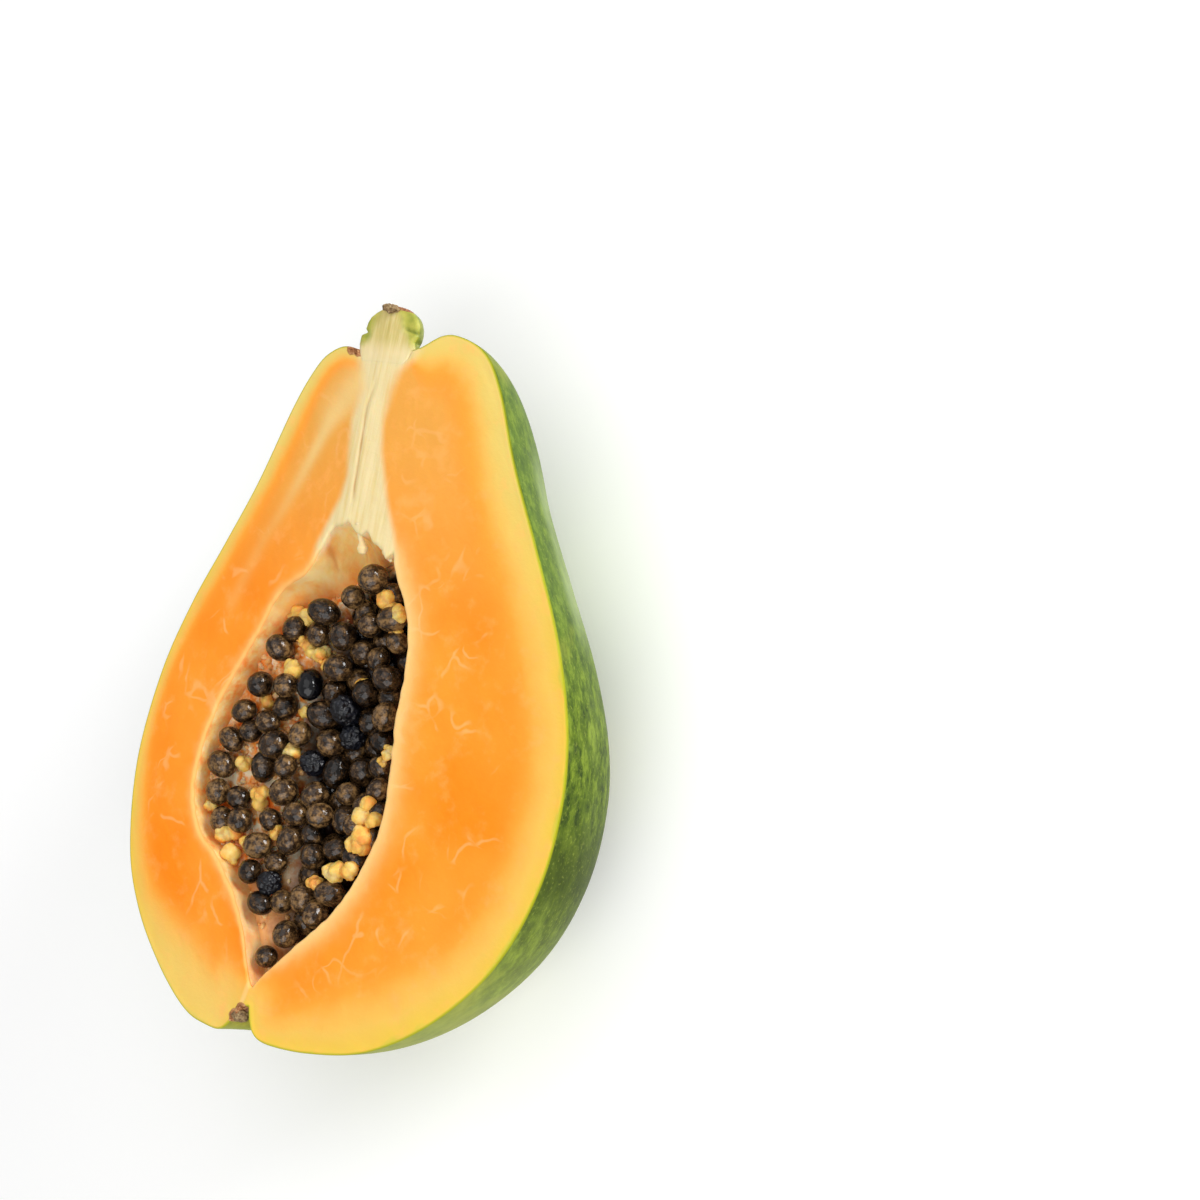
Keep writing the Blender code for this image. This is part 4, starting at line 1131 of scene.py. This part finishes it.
def pebbles_tree():
    """Sets a dented ball on each point, with the size and turn that the point carries."""
    tree, add, given = group_tree("dented balls", [
        ("Subdivisions", "NodeSocketInt"), ("Dent depth", "NodeSocketFloat"),
        ("Dent size", "NodeSocketFloat"), ("Material", "NodeSocketMaterial")])
    ball = add("GeometryNodeMeshIcoSphere", {"Radius": 1.0, "Subdivisions": given["Subdivisions"]})
    place = add("GeometryNodeInputPosition")
    marked = add("GeometryNodeStoreNamedAttribute", {"Geometry": ball, "Name": "local", "Value": place},
                 data_type="FLOAT_VECTOR", domain="POINT")
    turn = add("GeometryNodeInputNamedAttribute", {"Name": "turn"}, data_type="FLOAT_VECTOR")
    turn = add("FunctionNodeEulerToRotation", {0: turn})
    size = add("GeometryNodeInputNamedAttribute", {"Name": "size"}, data_type="FLOAT_VECTOR")
    placed = add("GeometryNodeInstanceOnPoints", {
        "Points": given["Geometry"], "Instance": marked, "Rotation": turn, "Scale": size})
    real = add("GeometryNodeRealizeInstances", {"Geometry": placed})
    scale = add("ShaderNodeMath", {0: 1.0, 1: given["Dent size"]}, operation="DIVIDE")
    rough = add("ShaderNodeTexNoise", {"Vector": place, "Scale": scale, "Detail": 2.0})
    signed = add("ShaderNodeMath", {0: rough, 1: 0.5}, operation="SUBTRACT")
    push = add("ShaderNodeMath", {0: signed, 1: given["Dent depth"]}, operation="MULTIPLY")
    normal = add("GeometryNodeInputNormal")
    offset = add("ShaderNodeVectorMath", {0: normal, "Scale": push}, operation="SCALE")
    moved = add("GeometryNodeSetPosition", {"Geometry": real, "Offset": offset})
    end_tree(add, moved, given["Material"])
    return tree


def grains_tree():
    """Scatters small grains over the bare part of a surface."""
    tree, add, given = group_tree("scattered grains", [
        ("Density", "NodeSocketFloat"), ("Smallest", "NodeSocketFloat"), ("Largest", "NodeSocketFloat"),
        ("Seed", "NodeSocketInt"), ("Material", "NodeSocketMaterial")])
    bare = add("GeometryNodeInputNamedAttribute", {"Name": "bare"}, data_type="FLOAT")
    density = add("ShaderNodeMath", {0: bare, 1: given["Density"]}, operation="MULTIPLY")
    spread = add("GeometryNodeDistributePointsOnFaces", {
        "Mesh": given["Geometry"], "Density": density, "Seed": given["Seed"]})
    ball = add("GeometryNodeMeshIcoSphere", {"Radius": 0.5, "Subdivisions": 2})
    size = add("FunctionNodeRandomValue", {
        "Min": given["Smallest"], "Max": given["Largest"], "Seed": given["Seed"]}, "Value", data_type="FLOAT")
    flat = add("ShaderNodeMath", {0: size, 1: 0.7}, operation="MULTIPLY")
    scale = add("ShaderNodeCombineXYZ", {"X": size, "Y": size, "Z": flat})
    turn = add("FunctionNodeRandomValue", {
        "Min": (0.0, 0.0, 0.0), "Max": (math.tau, math.tau, math.tau), "Seed": given["Seed"]},
        "Value", data_type="FLOAT_VECTOR")
    turn = add("FunctionNodeEulerToRotation", {0: turn})
    placed = add("GeometryNodeInstanceOnPoints", {
        "Points": spread, "Instance": ball, "Rotation": turn, "Scale": scale})
    real = add("GeometryNodeRealizeInstances", {"Geometry": placed})
    end_tree(add, real, given["Material"])
    return tree


def grow(piece, tree, values):
    """Runs a geometry node tree on a piece and keeps the result as its plain mesh."""
    modifier = piece.modifiers.new(tree.name, "NODES")
    modifier.node_group = tree
    for item in tree.interface.items_tree:
        if item.in_out == "INPUT" and item.name in values:
            modifier[item.identifier] = values[item.name]
    evaluated = piece.evaluated_get(bpy.context.evaluated_depsgraph_get())
    mesh = bpy.data.meshes.new_from_object(evaluated)
    piece.modifiers.clear()
    piece.data = mesh
    mesh.name = piece.name
    return piece


def dents(subdivisions, depth_mm, size_mm, material):
    """What the tree of dented balls is given."""
    return {"Subdivisions": subdivisions, "Dent depth": depth_mm * MM, "Dent size": size_mm * MM,
            "Material": material}


def ball_points(name, spots, rng, lengths, tone):
    """Points for balls: each with its size, a random turn and a tone, which holds the seeds' painted shade
    too.
    """
    count = len(spots)
    turn = rng.uniform(0.0, math.tau, (count, 3))
    narrow = rng.uniform(0.93, 1.0, count)
    long = np.where(tone > LONG_TONE, BLACK_LENGTH, rng.uniform(*lengths, count))
    size = spots[:, 3:4] * np.stack([narrow, narrow, long], 1) * MM
    return add_mesh(name, spots[:, :3], [], turn=turn, size=size, tone=tone)


def seed_pieces(colours, sizes):
    """Glossy seeds, one of them black, and the few that dried and wrinkled."""
    rng = np.random.default_rng(SEED_DRAW)
    spots = settle(np.vstack([mark_spots(), shown_spots(rng)]))
    wrinkled = np.arange(len(spots) - len(WRINKLED_SEEDS), len(spots))
    spots = packed(spots, SEED_LAYERS, rng)
    above = len(spots)
    spots = packed(spots, DEEP_LAYER, rng)
    spots[:, 3] *= SEED_SHRINK
    mean, spread, least, most = SEED_TONES
    tone = np.clip(rng.normal(mean, spread, len(spots)), least, most)
    # The imported and the deep seeds are painted darker, as shade
    tone[len(MARK_SEEDS) + len(SHOWN_SEEDS) + len(WRINKLED_SEEDS):] += PACKED_PAINTED_SHADE
    tone[above:] += DEEP_PAINTED_SHADE
    tone[BLACK_MARK] = BLACK_TONE
    rest = np.setdiff1d(np.arange(len(spots)), wrinkled)
    film = seed_material("papaya seed in wet film", "#0c0704", colours.seed, "#86663e", 0.1, 0.16)
    dry = seed_material("wrinkled black papaya seed", "#040406", linear("#0a0b11"), "#1a1c25", 0.28, 0.3)
    balls = pebbles_tree()
    seeds = ball_points("wet_seeds", spots[rest], rng, SEED_LENGTHS, tone[rest])
    grow(seeds, balls, dents(3, sizes.seed_dent / MM, SEED_DENT_SIZE, film))
    dried = ball_points("wrinkled_seeds", spots[wrinkled], rng, WRINKLED_LENGTHS, np.zeros(len(wrinkled)))
    grow(dried, balls, dents(5, *WRINKLES, dry))
    return seeds, dried


def crumb_pieces(colours, sizes, bed):
    """Crumbs of pulp as knots of small balls, and grains over the bare pulp."""
    rng = np.random.default_rng(SEED_DRAW)
    spots = []
    for x, y, lift, size in CRUMBS:
        z = float(bed_height(x, y)) + lift
        x, y = as_seen(x, y, z)
        for _ in range(CRUMB_KNOTS):
            off = rng.normal(0.0, CRUMB_SPREAD * size, 3) * (1.0, 1.0, 0.5)
            spots.append([x + off[0], y + off[1], z + off[2], size * rng.uniform(*CRUMB_RADII)])
    start, end = np.array(PULP_STRIP)
    for along in np.linspace(0.0, 1.0, PULP_BALLS):
        x, y = start + along * (end - start)
        spots.append([x, y, float(bed_height(x, y)) + 1.5, 0.8 + 0.5 * math.sin(math.pi * along)])
    yellow = crumb_material("granular papaya pulp", "#f0943c", colours.crumb, "#fbd488")
    peach = crumb_material("grains on bare papaya pulp", "#f49a4e", colours.pulp, "#fee3bc")
    crumbs = ball_points("pulp_crumbs", np.array(spots), rng, CRUMB_LENGTHS, np.zeros(len(spots)))
    grow(crumbs, pebbles_tree(), dents(3, *CRUMB_DENTS, yellow))
    grains = bpy.data.objects.new("pulp_grains", bed.data.copy())
    bpy.context.scene.collection.objects.link(grains)
    grow(grains, grains_tree(), {"Density": sizes.grain_density / MM ** 2, "Smallest": sizes.smallest_grain,
                                 "Largest": sizes.largest_grain, "Seed": SEED_DRAW, "Material": peach})
    return crumbs, grains


def finish_piece(piece, slot, *nodes):
    """Ties a piece to the frame: it rides with the only body and may stand for CAD nodes."""
    if not piece.data.polygons:
        raise RuntimeError(f"{piece.name} has no faces")
    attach(piece, "root")
    if nodes:
        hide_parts(*nodes)


def colour_property(name, description, default):
    """A colour that the panel offers, given as it looks on the screen."""
    return bpy.props.FloatVectorProperty(
        name=name, description=description, subtype="COLOR", size=4, min=0.0, max=1.0,
        default=linear(default))


def length_property(name, description, default_mm):
    """A length in metres that the panel offers, given in millimetres."""
    return bpy.props.FloatProperty(
        name=name, description=description, default=default_mm * MM, min=0.0, unit="LENGTH")


class PapayaColours(bpy.types.PropertyGroup):
    """Colours of the fruit, the stem, the seeds and the pulp"""
    flesh: colour_property("Flesh", "Orange of the ripe flesh", "#fc992f")
    neck: colour_property("Neck", "Duller orange of the flesh near the stem", "#e6a146")
    rim: colour_property("Rim", "Yellow of the flesh near the skin", "#e4bf49")
    lime: colour_property("Skin line", "Line of green where the skin was cut", "#a8a81e")
    core: colour_property("Core", "Cream of the strands between the stem and the hollow", "#e2cf9b")
    lining: colour_property("Lining", "Pale edge of the hollow", "#f6cb84")
    wall: colour_property("Wall", "Wall of the hollow below its edge", "#ffc878")
    skin: colour_property("Skin", "Green of the skin", "#4f640f")
    ripe_skin: colour_property("Ripe skin", "Olive of the skin near both ends", "#a3a03a")
    stem: colour_property("Stem", "Green of the cut stem beside its strands", "#adab42")
    dried: colour_property("Dried end", "Brown of the dried end of the stem", "#866a45")
    pulp: colour_property("Pulp", "Peach of the bare pulp in the hollow", "#f9b878")
    crumb: colour_property("Crumbs", "Creamy yellow of the loose pulp", "#f4b954")
    seed: colour_property("Seeds", "Brown of the wet seeds", "#3a2817")


class PapayaSizes(bpy.types.PropertyGroup):
    """Sizes of the small forms"""
    lip: length_property("Lip", "Rounding of the edge of the hollow", 0.8)
    skin_edge: length_property("Skin edge", "Rounding of the edge between the cut and the skin", 0.35)
    seed_dent: length_property("Seed dents", "Depth of the dents in the seeds", 0.5)
    smallest_grain: length_property("Smallest grain", "Smallest grains on the bare pulp", 0.6)
    largest_grain: length_property("Largest grain", "Largest grains on the bare pulp", 1.7)
    grain_density: bpy.props.FloatProperty(
        name="Grain density", description="Grains on each square millimetre of bare pulp",
        default=0.3, min=0.0)


class PAPAYA_OT_fruit(bpy.types.Operator):
    """Makes the cut flesh, the skin and the wall of the hollow"""
    bl_idname = "papaya.fruit"
    bl_label = "Flesh and skin"

    def execute(self, context):
        scene = context.scene
        finish_piece(fruit_piece(scene.papaya_colours, scene.papaya_sizes), "fruit", "papaya_half")
        return {"FINISHED"}


class PAPAYA_OT_stem(bpy.types.Operator):
    """Makes the half-cut stem with its dried end, and the scar at the blossom end"""
    bl_idname = "papaya.stem"
    bl_label = "Stem and scar"

    def execute(self, context):
        colours = context.scene.papaya_colours
        finish_piece(stem_piece(colours), "fruit", "papaya_half")
        dry = dry_material(colours)
        for name, centre, size, rough in DRIED_LUMPS:
            finish_piece(lump(name, centre, size, rough, dry), "fruit", "papaya_half")
        return {"FINISHED"}


class PAPAYA_OT_core(bpy.types.Operator):
    """Makes the strands of the core that hang into the hollow"""
    bl_idname = "papaya.core"
    bl_label = "Core strands"

    def execute(self, context):
        for name, path, widths, flat in CORE_STRANDS:
            finish_piece(strand_piece(name, path, widths, flat), "fruit", "papaya_half")
        return {"FINISHED"}


class PAPAYA_OT_seeds(bpy.types.Operator):
    """Makes the wet pulp with the seeds and crumbs on it"""
    bl_idname = "papaya.seeds"
    bl_label = "Seeds and pulp"

    def execute(self, context):
        colours, sizes = context.scene.papaya_colours, context.scene.papaya_sizes
        bed = bed_piece(colours)
        for piece in (bed, *seed_pieces(colours, sizes), *crumb_pieces(colours, sizes, bed)):
            finish_piece(piece, "seeds", "seeds")
        return {"FINISHED"}


class PAPAYA_OT_stage(bpy.types.Operator):
    """Makes the pale floor, the soft light and the camera"""
    bl_idname = "papaya.stage"
    bl_label = "Floor, light and camera"

    def execute(self, context):
        make_floor()
        make_lights()
        make_camera()
        return {"FINISHED"}


def make_floor():
    """A white sheet under the fruit, far wider than the view."""
    half = FLOOR_SIZE / 2.0
    corners = [(-half, -half, 0.0), (half, -half, 0.0), (half, half, 0.0), (-half, half, 0.0)]
    mesh = bpy.data.meshes.new("floor")
    mesh.from_pydata(corners, [], [(0, 1, 2, 3)])
    floor = bpy.data.objects.new("floor", mesh)
    bpy.context.scene.collection.objects.link(floor)
    material, _, _ = new_material("matt white paper backdrop")
    mesh.materials.append(with_shader(material, linear("#ffffff"), None, 0.9, 0.1))


def make_lights():
    """Soft light from above and in front, and a window at the side that the wet seeds reflect."""
    scene = bpy.context.scene
    scene.view_settings.view_transform = "Standard"
    world = bpy.data.worlds.new("studio")
    scene.world = world
    world.use_nodes = True
    back = world.node_tree.nodes["Background"]
    back.inputs["Color"].default_value = linear("#ffffff")
    back.inputs["Strength"].default_value = WORLD_LIGHT
    for name, place, width, height, power in LAMPS:
        light = bpy.data.lights.new(name, "AREA")
        light.shape = "RECTANGLE"
        light.size, light.size_y = width, height
        light.energy = power
        lamp = bpy.data.objects.new(name, light)
        lamp.location = place
        lamp.rotation_euler = (Vector(LAMP_TARGET) - lamp.location).to_track_quat("-Z", "Y").to_euler()
        scene.collection.objects.link(lamp)


def make_camera():
    """The camera looks down on the cut side from the right."""
    data = bpy.data.cameras.new("camera")
    data.lens = CAMERA_LENS
    data.sensor_width = CAMERA_SENSOR
    data.clip_start = 0.01
    camera = bpy.data.objects.new("camera", data)
    bpy.context.scene.collection.objects.link(camera)
    back = (Vector(CAMERA_PLACE) - Vector(CAMERA_TARGET)).normalized()
    right = Vector(CAMERA_UP).cross(back).normalized()
    turned = Matrix((right, back.cross(right), back)).transposed().to_4x4()
    camera.matrix_world = Matrix.Translation(CAMERA_PLACE) @ turned
    bpy.context.scene.camera = camera


class PAPAYA_PT_panel(bpy.types.Panel):
    """Lists the colours and sizes, and the steps that build the papaya half"""
    bl_label = "Papaya half"
    bl_idname = "PAPAYA_PT_panel"
    bl_space_type = "VIEW_3D"
    bl_region_type = "UI"
    bl_category = "Papaya"

    def draw(self, context):
        for group in (context.scene.papaya_colours, context.scene.papaya_sizes):
            for name in group.__annotations__:
                self.layout.prop(group, name)
        for step in STEPS:
            self.layout.operator(step.bl_idname)


STEPS = (PAPAYA_OT_fruit, PAPAYA_OT_stem, PAPAYA_OT_core, PAPAYA_OT_seeds, PAPAYA_OT_stage)
CLASSES = (PapayaColours, PapayaSizes) + STEPS + (PAPAYA_PT_panel,)


def register():
    """Adds the properties, the steps and the panel to Blender."""
    for item in CLASSES:
        bpy.utils.register_class(item)
    bpy.types.Scene.papaya_colours = bpy.props.PointerProperty(type=PapayaColours)
    bpy.types.Scene.papaya_sizes = bpy.props.PointerProperty(type=PapayaSizes)


def unregister():
    """Takes them out again."""
    del bpy.types.Scene.papaya_sizes
    del bpy.types.Scene.papaya_colours
    for item in reversed(CLASSES):
        bpy.utils.unregister_class(item)


def main():
    """Builds the papaya half step by step."""
    register()
    for step in STEPS:
        group, action = step.bl_idname.split(".")
        getattr(getattr(bpy.ops, group), action)()


if __name__ == "__main__":
    main()
